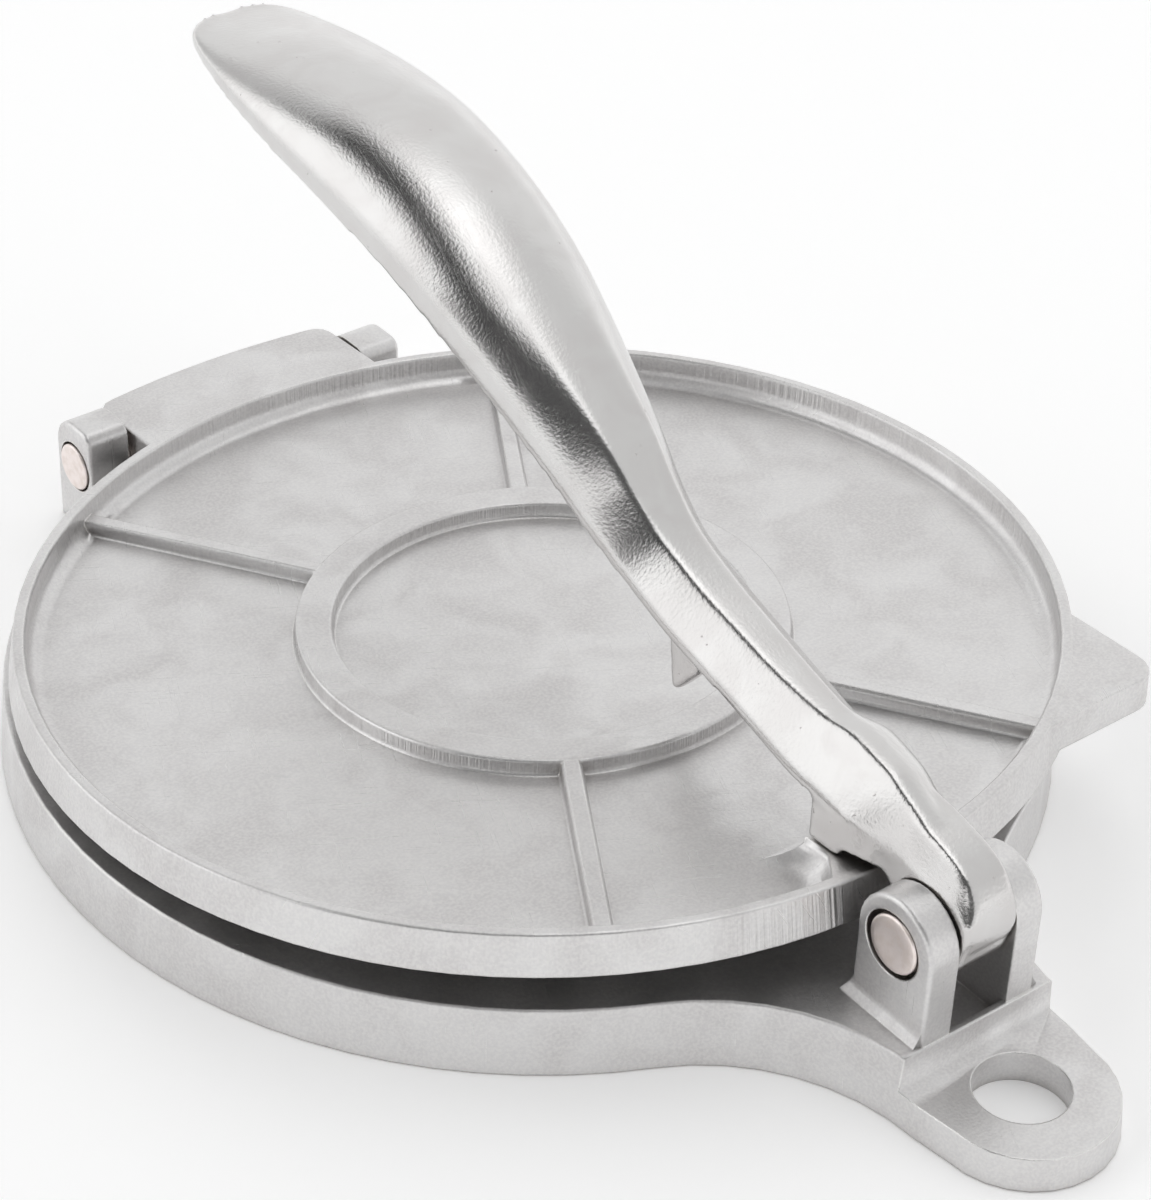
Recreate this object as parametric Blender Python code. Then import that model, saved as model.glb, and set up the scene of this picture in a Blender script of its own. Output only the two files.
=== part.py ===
"""Hand press for flattening dough, in cast metal.

A round lower plate carries two ears at the back, where the upper plate is hinged, and a clevis at
the front, where the lever turns. The lever's foot bears on a pad of the upper plate, and its nub
presses the middle of that plate at the end of the stroke. Lengths are in metres, +Z is up, +Y
points to the rear hinge, and the origin is under the middle of the object's box.
"""

import math

import bmesh
import bpy
from mathutils import Matrix, Vector

# Counts of facets
DISC_STEPS = 72
PLATE_STEPS = 90
ARC_STEPS = 8
TONGUE_STEPS = 14
ROUND_STEPS = 3
PIN_STEPS = 28
LEVER_STEPS = 44
HOLLOW_STEPS = 39
SECTION_STEPS = 8

# Shared sizes
CUT_OVERRUN = 0.004
WELD_DISTANCE = 0.00002
SINK = 0.0006

# Plates from above
PLATE_RADIUS = 0.1015
PLATE_DRAFT = 0.0013
PLATE_SHIFT = 0.0039
RIM_WIDTH = 0.0025
BASE_LEDGE = 0.0006

# Lower plate
BASE_HEIGHT = 0.0141
BASE_DRAFT = 0.0012
BASE_EDGE = 0.0005
BASE_WALL = 0.0042
BASE_FLOOR = 0.0042
TONGUE_HEIGHT = 0.0071
TONGUE_HALF_WIDTH = 0.0180
TONGUE_END_RADIUS = 0.0170
TONGUE_END_OFFSET = 0.0009
FLARE_RADIUS = 0.0426
STEP_GAP = 0.0004
HANG_HOLE_SETBACK = 0.0115
HANG_HOLE_TOP_RADIUS = 0.0086
HANG_HOLE_BOTTOM_RADIUS = 0.0093

# Ring and spokes, shared by the back of the lower plate and the top of the upper plate
RING_OUTER_RADIUS = 0.0473
RING_INNER_RADIUS = 0.0403
SPOKE_HALF_WIDTH = 0.0019
SPOKE_ANGLE_DEG = 31.2

# Front clevis
PIVOT_RISE = 0.0168
CLEVIS_GAP = 0.0025
CLEVIS_INNER = 0.0066
CLEVIS_EAR_WIDTH = 0.0063
CLEVIS_EAR_WALL = 0.0035
CLEVIS_EDGE = 0.0008
CLEVIS_FOOT_FLARE = 0.0014
CLEVIS_FOOT_HEIGHT = 0.0050
POCKET_DEPTH = 0.0036
POCKET_LIP = 0.0014
LEVER_PIN_RADIUS = 0.0056
LEVER_PIN_PROUD = 0.0005
CLEVIS_HOLE_PLAY = 0.0009
CLEVIS_HOLE_DROP = 0.0005

# Rear hinge
HINGE_SETBACK = 0.0028
HINGE_RISE = 0.0011
HINGE_PIN_RADIUS = 0.0050
HINGE_PIN_PROUD = 0.0005
HINGE_HOLE_PLAY = 0.0005
HINGE_EAR_INNER = 0.0295
HINGE_EAR_WIDTH = 0.0094
HINGE_EAR_RISE = 0.0097
HINGE_EAR_RIGHT_DROP = 0.0030
HINGE_EAR_FRONT_DEPTH = 0.0059
HINGE_EAR_REAR_DEPTH = 0.0070
HINGE_EAR_ROOT_DEPTH = 0.0096
HINGE_EAR_FRONT_ROUND = 0.0025
HINGE_EAR_REAR_ROUND = 0.0060
HINGE_EAR_EDGE = 0.0008
HINGE_SHELF_DROP = 0.0006
KNUCKLE_WALL = 0.0030
KNUCKLE_GAP = 0.0012

# Upper plate
PLATE_HEIGHT = 0.0085
PLATE_FLOOR = 0.0025
PLATE_EDGE = 0.0005
PLATE_FILLET = 0.0030
PLATE_SEAT_GAP = 0.0003
RING_HEIGHT = 0.0031
RING_EDGE = 0.0006
SPOKE_HEIGHT = 0.0029
SPOKE_FOOT_FLARE = 0.0006
TAB_SIDE_INSET = 0.0229
TAB_FRONT_INSET = 0.0125
TAB_CORNER_RADIUS = 0.0060
TAB_THICKNESS = 0.0070
TAB_DROP = 0.0004
WEB_SIDE_GAP = 0.0011
WEB_OVERHANG = 0.0102
WEB_CORNER_RADIUS = 0.0040
WEB_BOW = 0.0018
PAD_HALF_WIDTH = 0.0084
PAD_RIM_HALF_WIDTH = 0.0129
PAD_FOOT_FLARE = 0.0055
PAD_DROP = 0.0002
REST_OPENING_DEG = 3.03

# Lever
LEVER_REACH = 0.2206
LEVER_RISE = 0.0767
GRIP_HALF_WIDTH = 0.0196
GRIP_DEPTH = 0.0150
LEVER_WALL = 0.0034
LEVER_LIP = 0.0022
BARREL_SIDE_GAP = 0.0005
BARREL_WALL = 0.0033
BARREL_HOLE_PLAY = 0.0003
RIDGE_HALF_WIDTH = 0.0032
CREST_EDGE = 0.0011
FOOT_HALF_WIDTH = 0.0084
FOOT_FAR_REACH = 0.0279
FOOT_NEAR_REACH = 0.0202
FOOT_OVERHANG = 0.0006
FOOT_GAP = 0.0003
NUB_HALF_WIDTH = 0.0019
NUB_TIP_REACH = 0.0734
NUB_TIP_HEIGHT = 0.0036

# Lever stations from the tip to the foot, as shares of reach, rise, half width and depth of the
# grip, and the ridge's half width as a share of the station's own half width
LEVER_STATION_SHARES = (
    (1.000, 0.993, 0.15, 0.10, 0.90),
    (0.994, 0.991, 0.38, 0.13, 0.80),
    (0.978, 0.987, 0.55, 0.18, 0.74),
    (0.945, 0.982, 0.69, 0.27, 0.68),
    (0.882, 0.967, 0.85, 0.47, 0.60),
    (0.810, 0.943, 0.95, 0.66, 0.55),
    (0.740, 0.908, 0.98, 0.80, 0.52),
    (0.665, 0.849, 0.94, 0.86, 0.50),
    (0.600, 0.773, 0.88, 0.87, 0.48),
    (0.530, 0.664, 0.78, 0.84, 0.46),
    (0.450, 0.522, 0.645, 0.78, 0.44),
    (0.405, 0.427, 0.560, 0.70, 0.42),
    (0.360, 0.352, 0.500, 0.63, 0.40),
    (0.305, 0.292, 0.495, 0.59, 0.37),
    (0.255, 0.252, 0.480, 0.58, 0.35),
    (0.207, 0.212, 0.470, 0.60, 0.32),
    (0.157, 0.170, 0.465, 0.68, 0.24),
    (0.128, 0.152, 0.445, 0.74, 0.16),
    (0.103, 0.137, 0.430, 0.76, 0.20),
    (0.079, 0.123, 0.400, 0.76, 0.24),
    (0.051, 0.110, 0.330, 0.67, 0.38),
    (0.025, 0.098, 0.300, 0.58, 0.45),
)
# Height over the section's half width: how full the side walls are, from grip to neck
GRIP_FULLNESS_SHARE = 0.62
NECK_FULLNESS_SHARE = 0.12
SHOULDER_FULLNESS_SHARE = 1.40
SHOULDER_START_SHARE = 0.165
SHOULDER_FULL_SHARE = 0.120
NECK_START_SHARE = 0.45
GRIP_START_SHARE = 0.68
HOLLOW_END_SHARE = 0.20
HOLLOW_TIP_SHARE = 0.89

# Crest of the lever's head from the foot to the nose, as shares of the barrel's radius
CREST_SHARES = (
    (1.95, 2.00),
    (1.27, 1.93),
    (0.62, 1.84),
    (-0.10, 1.66),
    (-0.62, 1.42),
    (-0.95, 1.02),
)
CREST_EDGE_SHARE = 0.10
CHEEK_SHARES = (
    (1.95, 1.50),
    (1.27, 1.40),
    (0.62, 1.25),
    (-0.10, 1.12),
    (-0.55, 1.00),
    (-0.90, 0.82),
)
NOSE_SHARES = ((-1.10, 0.68), (-1.13, 0.30), (-1.05, 0.02))
ARCH_SHARES = ((1.95, 0.56), (1.80, 0.62), (1.45, 0.60), (1.12, 0.36))
NUB_SHARES = ((1.045, 8.2), (1.0, 1.0), (0.978, 1.0), (0.900, 2.9), (0.850, 7.4))

# Derived sizes and places
BASE_RADIUS = PLATE_RADIUS + BASE_LEDGE
PLATE_TOP_RADIUS = PLATE_RADIUS - PLATE_DRAFT
PLATE_RIM_INNER_RADIUS = PLATE_TOP_RADIUS - RIM_WIDTH
CLEVIS_OUTER = CLEVIS_INNER + CLEVIS_EAR_WIDTH
CLEVIS_EAR_RADIUS = LEVER_PIN_RADIUS + CLEVIS_EAR_WALL
BARREL_HALF_WIDTH = CLEVIS_INNER - BARREL_SIDE_GAP
BARREL_RADIUS = LEVER_PIN_RADIUS + BARREL_WALL
KNUCKLE_RADIUS = HINGE_PIN_RADIUS + KNUCKLE_WALL
PIVOT_REACH = PLATE_RADIUS + PLATE_SHIFT + CLEVIS_EAR_RADIUS + CLEVIS_GAP
PIVOT_HEIGHT = BASE_HEIGHT + PIVOT_RISE
STEP_REACH = PIVOT_REACH + CLEVIS_EAR_RADIUS + STEP_GAP
HANG_HOLE_REACH = STEP_REACH + HANG_HOLE_SETBACK
TONGUE_END_REACH = HANG_HOLE_REACH + TONGUE_END_OFFSET
HINGE_REACH = BASE_RADIUS + HINGE_SETBACK
HINGE_HEIGHT = BASE_HEIGHT + HINGE_RISE
HINGE_EAR_OUTER = HINGE_EAR_INNER + HINGE_EAR_WIDTH
HINGE_EAR_TOP = HINGE_HEIGHT + HINGE_EAR_RISE
HINGE_EAR_FRONT_REACH = HINGE_REACH - HINGE_EAR_FRONT_DEPTH
HINGE_EAR_REAR_REACH = HINGE_REACH + HINGE_EAR_REAR_DEPTH
HINGE_EAR_ROOT_REACH = BASE_RADIUS - HINGE_EAR_ROOT_DEPTH
TAB_SIDE_REACH = PLATE_TOP_RADIUS - TAB_SIDE_INSET
TAB_FRONT_REACH = PLATE_TOP_RADIUS - TAB_FRONT_INSET
WEB_HALF_WIDTH = HINGE_EAR_INNER - WEB_SIDE_GAP
WEB_REAR_REACH = HINGE_REACH + PLATE_SHIFT + WEB_OVERHANG
PAD_INNER_REACH = PIVOT_REACH - PLATE_SHIFT - FOOT_FAR_REACH + FOOT_OVERHANG
PLATE_BOTTOM = BASE_HEIGHT + PLATE_SEAT_GAP
WEB_REAR = WEB_REAR_REACH - PLATE_SHIFT
REAR_REACH = HINGE_REACH + (WEB_REAR - HINGE_REACH) * math.cos(math.radians(REST_OPENING_DEG))
ORIGIN_SHIFT = (TONGUE_END_REACH + TONGUE_END_RADIUS - REAR_REACH) / 2
HINGE_POINT = Vector((0, HINGE_REACH, HINGE_HEIGHT))
PIVOT_POINT = Vector((0, -PIVOT_REACH, PIVOT_HEIGHT))
PAD_TOP = PLATE_BOTTOM + PLATE_HEIGHT - PAD_DROP


# Helpers for meshes


def clear_scene():
    """Remove everything that a new file brings."""
    for item in list(bpy.data.objects):
        bpy.data.objects.remove(item, do_unlink=True)


def make_object(name, vertices, faces):
    """Make one object from points and faces, with its faces pointing out."""
    mesh = bpy.data.meshes.new(name)
    mesh.from_pydata([tuple(point) for point in vertices], [], faces)
    shape = bmesh.new()
    shape.from_mesh(mesh)
    bmesh.ops.remove_doubles(shape, verts=shape.verts, dist=WELD_DISTANCE)
    bmesh.ops.recalc_face_normals(shape, faces=shape.faces)
    shape.to_mesh(mesh)
    shape.free()
    item = bpy.data.objects.new(name, mesh)
    bpy.context.scene.collection.objects.link(item)
    return item


def loft(name, rings):
    """Join rings of as many points each into a closed solid, with a flat cap at both ends."""
    count = len(rings[0])
    vertices = [point for ring in rings for point in ring]
    faces = []
    for level in range(len(rings) - 1):
        low = level * count
        high = low + count
        for step in range(count):
            following = (step + 1) % count
            faces.append((low + step, low + following, high + following, high + step))
    faces.append(tuple(range(count)))
    last = (len(rings) - 1) * count
    faces.append(tuple(range(last, last + count)))
    return make_object(name, vertices, faces)


def revolve(name, profile, steps):
    """Turn a profile of radius and height round Z. Its first and last points lie on the axis."""
    vertices = [Vector((0, 0, profile[0][1]))]
    inner = profile[1:-1]
    for step in range(steps):
        angle = math.tau * step / steps
        for radius, height in inner:
            vertices.append(Vector((radius * math.cos(angle), radius * math.sin(angle), height)))
    vertices.append(Vector((0, 0, profile[-1][1])))
    count = len(inner)
    end = len(vertices) - 1
    faces = []
    for step in range(steps):
        here = 1 + step * count
        there = 1 + ((step + 1) % steps) * count
        faces.append((0, there, here))
        for level in range(count - 1):
            faces.append((here + level, there + level, there + level + 1, here + level + 1))
        faces.append((here + count - 1, there + count - 1, end))
    return make_object(name, vertices, faces)


def boolean(target, tool, operation):
    """Apply an exact boolean of the tool to the target, then remove the tool."""
    modifier = target.modifiers.new(operation, 'BOOLEAN')
    modifier.operation = operation
    modifier.solver = 'EXACT'
    modifier.object = tool
    bpy.context.view_layer.update()
    graph = bpy.context.evaluated_depsgraph_get()
    mesh = bpy.data.meshes.new_from_object(target.evaluated_get(graph))
    target.modifiers.clear()
    old = target.data
    target.data = mesh
    bpy.data.meshes.remove(old)
    bpy.data.objects.remove(tool, do_unlink=True)


def join(target, *tools):
    """Fuse solids into the target."""
    for tool in tools:
        boolean(target, tool, 'UNION')


def cut(target, *tools):
    """Cut solids out of the target."""
    for tool in tools:
        boolean(target, tool, 'DIFFERENCE')


def arc(centre_a, centre_b, radius, start_deg, end_deg, steps):
    """Points of an arc in a plane, both ends included."""
    points = []
    for step in range(steps + 1):
        angle = math.radians(start_deg + (end_deg - start_deg) * step / steps)
        points.append((centre_a + radius * math.cos(angle), centre_b + radius * math.sin(angle)))
    return points


def inset_loop(points, distance):
    """Move a closed loop of points inwards by a distance, measured square to its sides."""
    area = 0
    count = len(points)
    for step in range(count):
        here = points[step]
        there = points[(step + 1) % count]
        area += here[0] * there[1] - there[0] * here[1]
    turn = math.copysign(1, area)
    moved = []
    for step in range(count):
        before = Vector(points[step - 1])
        here = Vector(points[step])
        after = Vector(points[(step + 1) % count])
        first = (here - before).normalized()
        second = (after - here).normalized()
        normal = Vector((-first.y - second.y, first.x + second.x)) * turn
        scale = 2 / max(normal.length_squared, 1)
        moved.append(tuple(here + normal * distance * scale))
    return moved


def rounded_levels(low, high, edge_low, edge_high):
    """Places along a length and insets there, which round the edges at both ends."""
    levels = []
    if edge_low:
        for step in range(ROUND_STEPS):
            angle = math.pi / 2 * step / ROUND_STEPS
            levels.append((low + edge_low * (1 - math.cos(angle)), edge_low * (1 - math.sin(angle))))
        levels.append((low + edge_low, 0))
    else:
        levels.append((low, 0))
    if edge_high:
        levels.append((high - edge_high, 0))
        for step in range(1, ROUND_STEPS + 1):
            angle = math.pi / 2 * step / ROUND_STEPS
            levels.append((high - edge_high * (1 - math.sin(angle)), edge_high * (1 - math.cos(angle))))
    else:
        levels.append((high, 0))
    return levels


def extrude_x(name, profile, low, high, edge_low=0, edge_high=0):
    """Run a profile in Y and Z along X, with rounded end edges where a radius is given."""
    rings = []
    for place, inset in rounded_levels(low, high, edge_low, edge_high):
        rings.append([Vector((place, y, z)) for y, z in inset_loop(profile, inset)])
    return loft(name, rings)


def extrude_z(name, outline, low, high, edge_low=0, edge_high=0):
    """Run an outline in X and Y along Z, with rounded end edges where a radius is given."""
    rings = []
    for place, inset in rounded_levels(low, high, edge_low, edge_high):
        rings.append([Vector((x, y, place)) for x, y in inset_loop(outline, inset)])
    return loft(name, rings)


def box(name, low, high):
    """A box between two corners."""
    outline = [(low[0], low[1]), (high[0], low[1]), (high[0], high[1]), (low[0], high[1])]
    return extrude_z(name, outline, low[2], high[2])


def rod_x(name, radius, low, high, y, z, edge=0):
    """A round rod along X."""
    profile = arc(y, z, radius, 0, 360, PIN_STEPS)[:-1]
    return extrude_x(name, profile, low, high, edge, edge)


def finish(item, material, pivot, opening_deg=0):
    """Turn a piece about its hinge, put it in the object's frame and set its origin there."""
    turn = Matrix.Rotation(-math.radians(opening_deg), 4, 'X')
    place = Matrix.Translation(pivot) @ turn @ Matrix.Translation(-pivot)
    item.data.transform(place)
    item.data.transform(Matrix.Translation(-pivot))
    item.location = pivot + Vector((0, ORIGIN_SHIFT, 0))
    item.data.materials.clear()
    item.data.materials.append(material)
    item.data.shade_smooth()
    item.data.set_sharp_from_angle(angle=math.radians(35))


def metal(name, colour, roughness):
    """A bare metal with its own colour and roughness."""
    material = bpy.data.materials.new(name)
    material.use_nodes = True
    shader = material.node_tree.nodes['Principled BSDF']
    shader.inputs['Base Color'].default_value = (*colour, 1)
    shader.inputs['Metallic'].default_value = 1
    shader.inputs['Roughness'].default_value = roughness
    return material


# Lower plate


def base_outline(inset):
    """Disc, flares and tongue seen from above, drawn in by an inset."""
    disc = BASE_RADIUS - inset
    flare = FLARE_RADIUS + inset
    width = TONGUE_HALF_WIDTH - inset
    end = TONGUE_END_RADIUS - inset
    flare_x = width + flare
    flare_y = -math.sqrt((disc + flare) ** 2 - flare_x ** 2)
    tangent_deg = math.degrees(math.atan2(flare_y, flare_x))
    points = arc(0, 0, disc, tangent_deg, 180 - tangent_deg, DISC_STEPS)
    points += arc(-flare_x, flare_y, flare, -tangent_deg, 0, ARC_STEPS)[1:]
    points += arc(0, -TONGUE_END_REACH, end, 180, 360, TONGUE_STEPS)
    points += arc(flare_x, flare_y, flare, 180, 180 + tangent_deg, ARC_STEPS)[:-1]
    return points


def base_body():
    """The drafted wall with rounded top and bottom edges, before its cuts."""
    rings = []
    for height, inset in rounded_levels(0, BASE_HEIGHT, BASE_EDGE, BASE_EDGE):
        drawn_in = inset + BASE_DRAFT * height / BASE_HEIGHT
        rings.append([Vector((x, y, height)) for x, y in base_outline(drawn_in)])
    return loft('base_casting', rings)


def sector_outline(inner, outer, start_deg, end_deg):
    """A piece of ring between two spokes, whose sides run along the spokes."""
    steps = 2 * ARC_STEPS
    inner_turn = math.degrees(math.asin(SPOKE_HALF_WIDTH / inner))
    outer_turn = math.degrees(math.asin(SPOKE_HALF_WIDTH / outer))
    points = arc(0, 0, outer, start_deg + outer_turn, end_deg - outer_turn, steps)
    points += arc(0, 0, inner, end_deg - inner_turn, start_deg + inner_turn, steps)
    return points


def spoke_angles():
    """Directions of the four spokes, counted from +X."""
    tilt = SPOKE_ANGLE_DEG
    return [90 - tilt, 90 + tilt, 270 - tilt, 270 + tilt]


def hollow_underside(base):
    """Cut the back of the lower plate between wall, spokes and ring."""
    depth = BASE_HEIGHT - BASE_FLOOR
    directions = spoke_angles()
    rim = BASE_RADIUS - BASE_WALL
    for number, start in enumerate(directions):
        end = directions[(number + 1) % len(directions)]
        if end < start:
            end += 360
        outline = sector_outline(RING_OUTER_RADIUS, rim, start, end)
        cut(base, extrude_z('hollow', outline, -CUT_OVERRUN, depth))
    middle = arc(0, 0, RING_INNER_RADIUS, 0, 360, 4 * ARC_STEPS)[:-1]
    cut(base, extrude_z('hollow', middle, -CUT_OVERRUN, depth))


def hinge_ear_profile(top):
    """Side view of a rear ear up to its top, with its root under the lower plate's top."""
    shelf = BASE_HEIGHT - HINGE_SHELF_DROP
    front = HINGE_EAR_FRONT_REACH
    rear = HINGE_EAR_REAR_REACH
    small = HINGE_EAR_FRONT_ROUND
    large = HINGE_EAR_REAR_ROUND
    profile = [(HINGE_EAR_ROOT_REACH, 0), (rear, 0)]
    profile += arc(rear - large, top - large, large, 0, 90, ARC_STEPS)
    profile += arc(front + small, top - small, small, 90, 180, ROUND_STEPS)
    profile += [(front, shelf), (HINGE_EAR_ROOT_REACH, shelf)]
    return profile


def add_hinge_ears(base):
    """Both rear ears, the notch between them and their pin hole."""
    notch = HINGE_REACH - KNUCKLE_RADIUS - KNUCKLE_GAP
    reach = HINGE_EAR_INNER + BASE_WALL
    shelf = BASE_HEIGHT - HINGE_SHELF_DROP
    join(base, box('notch_wall', (-reach, notch - BASE_WALL, 0), (reach, notch + SINK, shelf)))
    for side in (-1, 1):
        inner = HINGE_EAR_INNER - SINK
        low, high = sorted((side * inner, side * HINGE_EAR_OUTER))
        edge_low = HINGE_EAR_EDGE if side < 0 else 0
        edge_high = HINGE_EAR_EDGE if side > 0 else 0
        top = HINGE_EAR_TOP - (HINGE_EAR_RIGHT_DROP if side > 0 else 0)
        join(base, extrude_x('hinge_ear', hinge_ear_profile(top), low, high, edge_low, edge_high))
    far = HINGE_EAR_REAR_REACH + CUT_OVERRUN
    high = HINGE_EAR_TOP + CUT_OVERRUN
    cut(base, box('notch', (-HINGE_EAR_INNER, notch, -CUT_OVERRUN), (HINGE_EAR_INNER, far, high)))
    reach = HINGE_EAR_OUTER + CUT_OVERRUN
    hole = HINGE_PIN_RADIUS + HINGE_HOLE_PLAY
    cut(base, rod_x('hinge_hole', hole, -reach, reach, HINGE_REACH, HINGE_HEIGHT))


def clevis_profile(grow):
    """Side view of a clevis ear: straight sides and a round top."""
    radius = CLEVIS_EAR_RADIUS
    profile = [(-PIVOT_REACH - radius, BASE_HEIGHT - SINK), (-PIVOT_REACH + radius + grow, BASE_HEIGHT - SINK)]
    profile += arc(-PIVOT_REACH, PIVOT_HEIGHT, radius, 0, 180, 2 * ARC_STEPS)
    return profile


def add_clevis(base):
    """Both front ears with their flared feet, the pocket between them and the loose pin hole."""
    front = -PIVOT_REACH - CLEVIS_EAR_RADIUS
    rear = -PIVOT_REACH + CLEVIS_EAR_RADIUS
    for side in (-1, 1):
        low, high = sorted((side * CLEVIS_INNER, side * CLEVIS_OUTER))
        edge_low = CLEVIS_EDGE if side < 0 else 0
        edge_high = CLEVIS_EDGE if side > 0 else 0
        join(base, extrude_x('clevis_ear', clevis_profile(0), low, high, edge_low, edge_high))
        rings = []
        for step in range(ROUND_STEPS + 1):
            share = step / ROUND_STEPS
            flare = CLEVIS_FOOT_FLARE * (1 - share) ** 2
            height = BASE_HEIGHT + CLEVIS_FOOT_HEIGHT * share
            wide = side * (CLEVIS_OUTER + flare - SINK * share)
            near = side * (CLEVIS_INNER + SINK)
            back = rear + flare - SINK * share
            corners = [(near, front + SINK), (wide, front + SINK), (wide, back), (near, back)]
            rings.append([Vector((x, y, height)) for x, y in corners])
        below = [Vector((point.x, point.y, BASE_HEIGHT - SINK)) for point in rings[0]]
        join(base, loft('clevis_foot', [below] + rings))
    floor = BASE_HEIGHT - POCKET_DEPTH
    low = (-CLEVIS_INNER, -STEP_REACH + POCKET_LIP, floor)
    high = (CLEVIS_INNER, rear, BASE_HEIGHT + CUT_OVERRUN)
    cut(base, box('pocket', low, high))
    reach = CLEVIS_OUTER + CUT_OVERRUN
    hole = LEVER_PIN_RADIUS + CLEVIS_HOLE_PLAY
    y = -PIVOT_REACH + CLEVIS_HOLE_DROP
    cut(base, rod_x('clevis_hole', hole, -reach, reach, y, PIVOT_HEIGHT - CLEVIS_HOLE_DROP))


def build_base():
    """The whole lower casting."""
    base = base_body()
    hollow_underside(base)
    wide = TONGUE_HALF_WIDTH + FLARE_RADIUS
    far = -TONGUE_END_REACH - TONGUE_END_RADIUS - CUT_OVERRUN
    high = BASE_HEIGHT + CUT_OVERRUN
    cut(base, box('step', (-wide, far, TONGUE_HEIGHT), (wide, -STEP_REACH, high)))
    add_clevis(base)
    add_hinge_ears(base)
    rings = []
    for share in (-1, 0, 1, 2):
        radius = HANG_HOLE_BOTTOM_RADIUS + (HANG_HOLE_TOP_RADIUS - HANG_HOLE_BOTTOM_RADIUS) * share
        height = TONGUE_HEIGHT * share
        circle = arc(0, -HANG_HOLE_REACH, radius, 0, 360, 4 * ARC_STEPS)[:-1]
        rings.append([Vector((x, y, height)) for x, y in circle])
    cut(base, loft('hang_hole', rings))
    return base


# Upper plate


def plate_profile():
    """Half section of the upper plate from its axis: flat below, rim, fillet and ring above."""
    top = PLATE_HEIGHT
    floor = PLATE_FLOOR
    edge = PLATE_EDGE
    rim = PLATE_RIM_INNER_RADIUS
    ring_top = floor + RING_HEIGHT
    profile = [(0, 0), (RING_INNER_RADIUS, 0), (PLATE_RADIUS - edge, 0)]
    profile += [(PLATE_RADIUS, edge)]
    profile += arc(PLATE_TOP_RADIUS - edge, top - edge, edge, 0, 90, 2)
    profile += [(rim + edge, top), (rim, top - edge)]
    profile += arc(rim - PLATE_FILLET, floor + PLATE_FILLET, PLATE_FILLET, 0, -90, 4)
    profile += [(RING_OUTER_RADIUS + RING_EDGE, floor), (RING_OUTER_RADIUS, floor + RING_EDGE)]
    profile += arc(RING_OUTER_RADIUS - RING_EDGE, ring_top - RING_EDGE, RING_EDGE, 0, 90, 2)
    profile += arc(RING_INNER_RADIUS + RING_EDGE, ring_top - RING_EDGE, RING_EDGE, 90, 180, 2)
    profile += [(RING_INNER_RADIUS, floor + RING_EDGE), (RING_INNER_RADIUS - RING_EDGE, floor)]
    profile += [(0, floor)]
    return profile


def add_spokes(plate):
    """Four ribs from the ring to the rim, wider at their feet."""
    low = PLATE_FLOOR - SINK
    high = PLATE_FLOOR + SPOKE_HEIGHT
    start = RING_OUTER_RADIUS - RING_EDGE - SINK
    end = PLATE_RIM_INNER_RADIUS + SINK
    wide = SPOKE_HALF_WIDTH + SPOKE_FOOT_FLARE
    crown = SPOKE_HALF_WIDTH - RING_EDGE
    section = [(-wide, low), (wide, low), (wide, PLATE_FLOOR), (SPOKE_HALF_WIDTH, PLATE_FLOOR + RING_EDGE)]
    section += [(SPOKE_HALF_WIDTH, high - RING_EDGE), (crown, high), (-crown, high)]
    section += [(-SPOKE_HALF_WIDTH, high - RING_EDGE), (-SPOKE_HALF_WIDTH, PLATE_FLOOR + RING_EDGE)]
    section += [(-wide, PLATE_FLOOR)]
    for angle in spoke_angles():
        turn = Matrix.Rotation(math.radians(angle), 3, 'Z')
        rings = []
        for place in (start, end):
            rings.append([turn @ Vector((place, across, height)) for across, height in section])
        join(plate, loft('spoke', rings))


def rim_middle_radius():
    """Radius half way through the rim at its top, where tab and web are rooted."""
    return (PLATE_RIM_INNER_RADIUS + PLATE_TOP_RADIUS) / 2


def add_tab(plate):
    """The square lifting tab at the front right corner, with a rounded outer corner."""
    root = rim_middle_radius()
    side_deg = -math.degrees(math.acos(TAB_SIDE_REACH / root))
    front_deg = -math.degrees(math.asin(TAB_FRONT_REACH / root))
    outline = arc(0, 0, root, front_deg, side_deg, ARC_STEPS)
    corner_x = TAB_SIDE_REACH - TAB_CORNER_RADIUS
    corner_y = -TAB_FRONT_REACH + TAB_CORNER_RADIUS
    outline += arc(corner_x, corner_y, TAB_CORNER_RADIUS, 0, -90, ARC_STEPS)
    high = PLATE_HEIGHT - TAB_DROP
    join(plate, extrude_z('tab', outline, high - TAB_THICKNESS, high, PLATE_EDGE, PLATE_EDGE))


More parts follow.
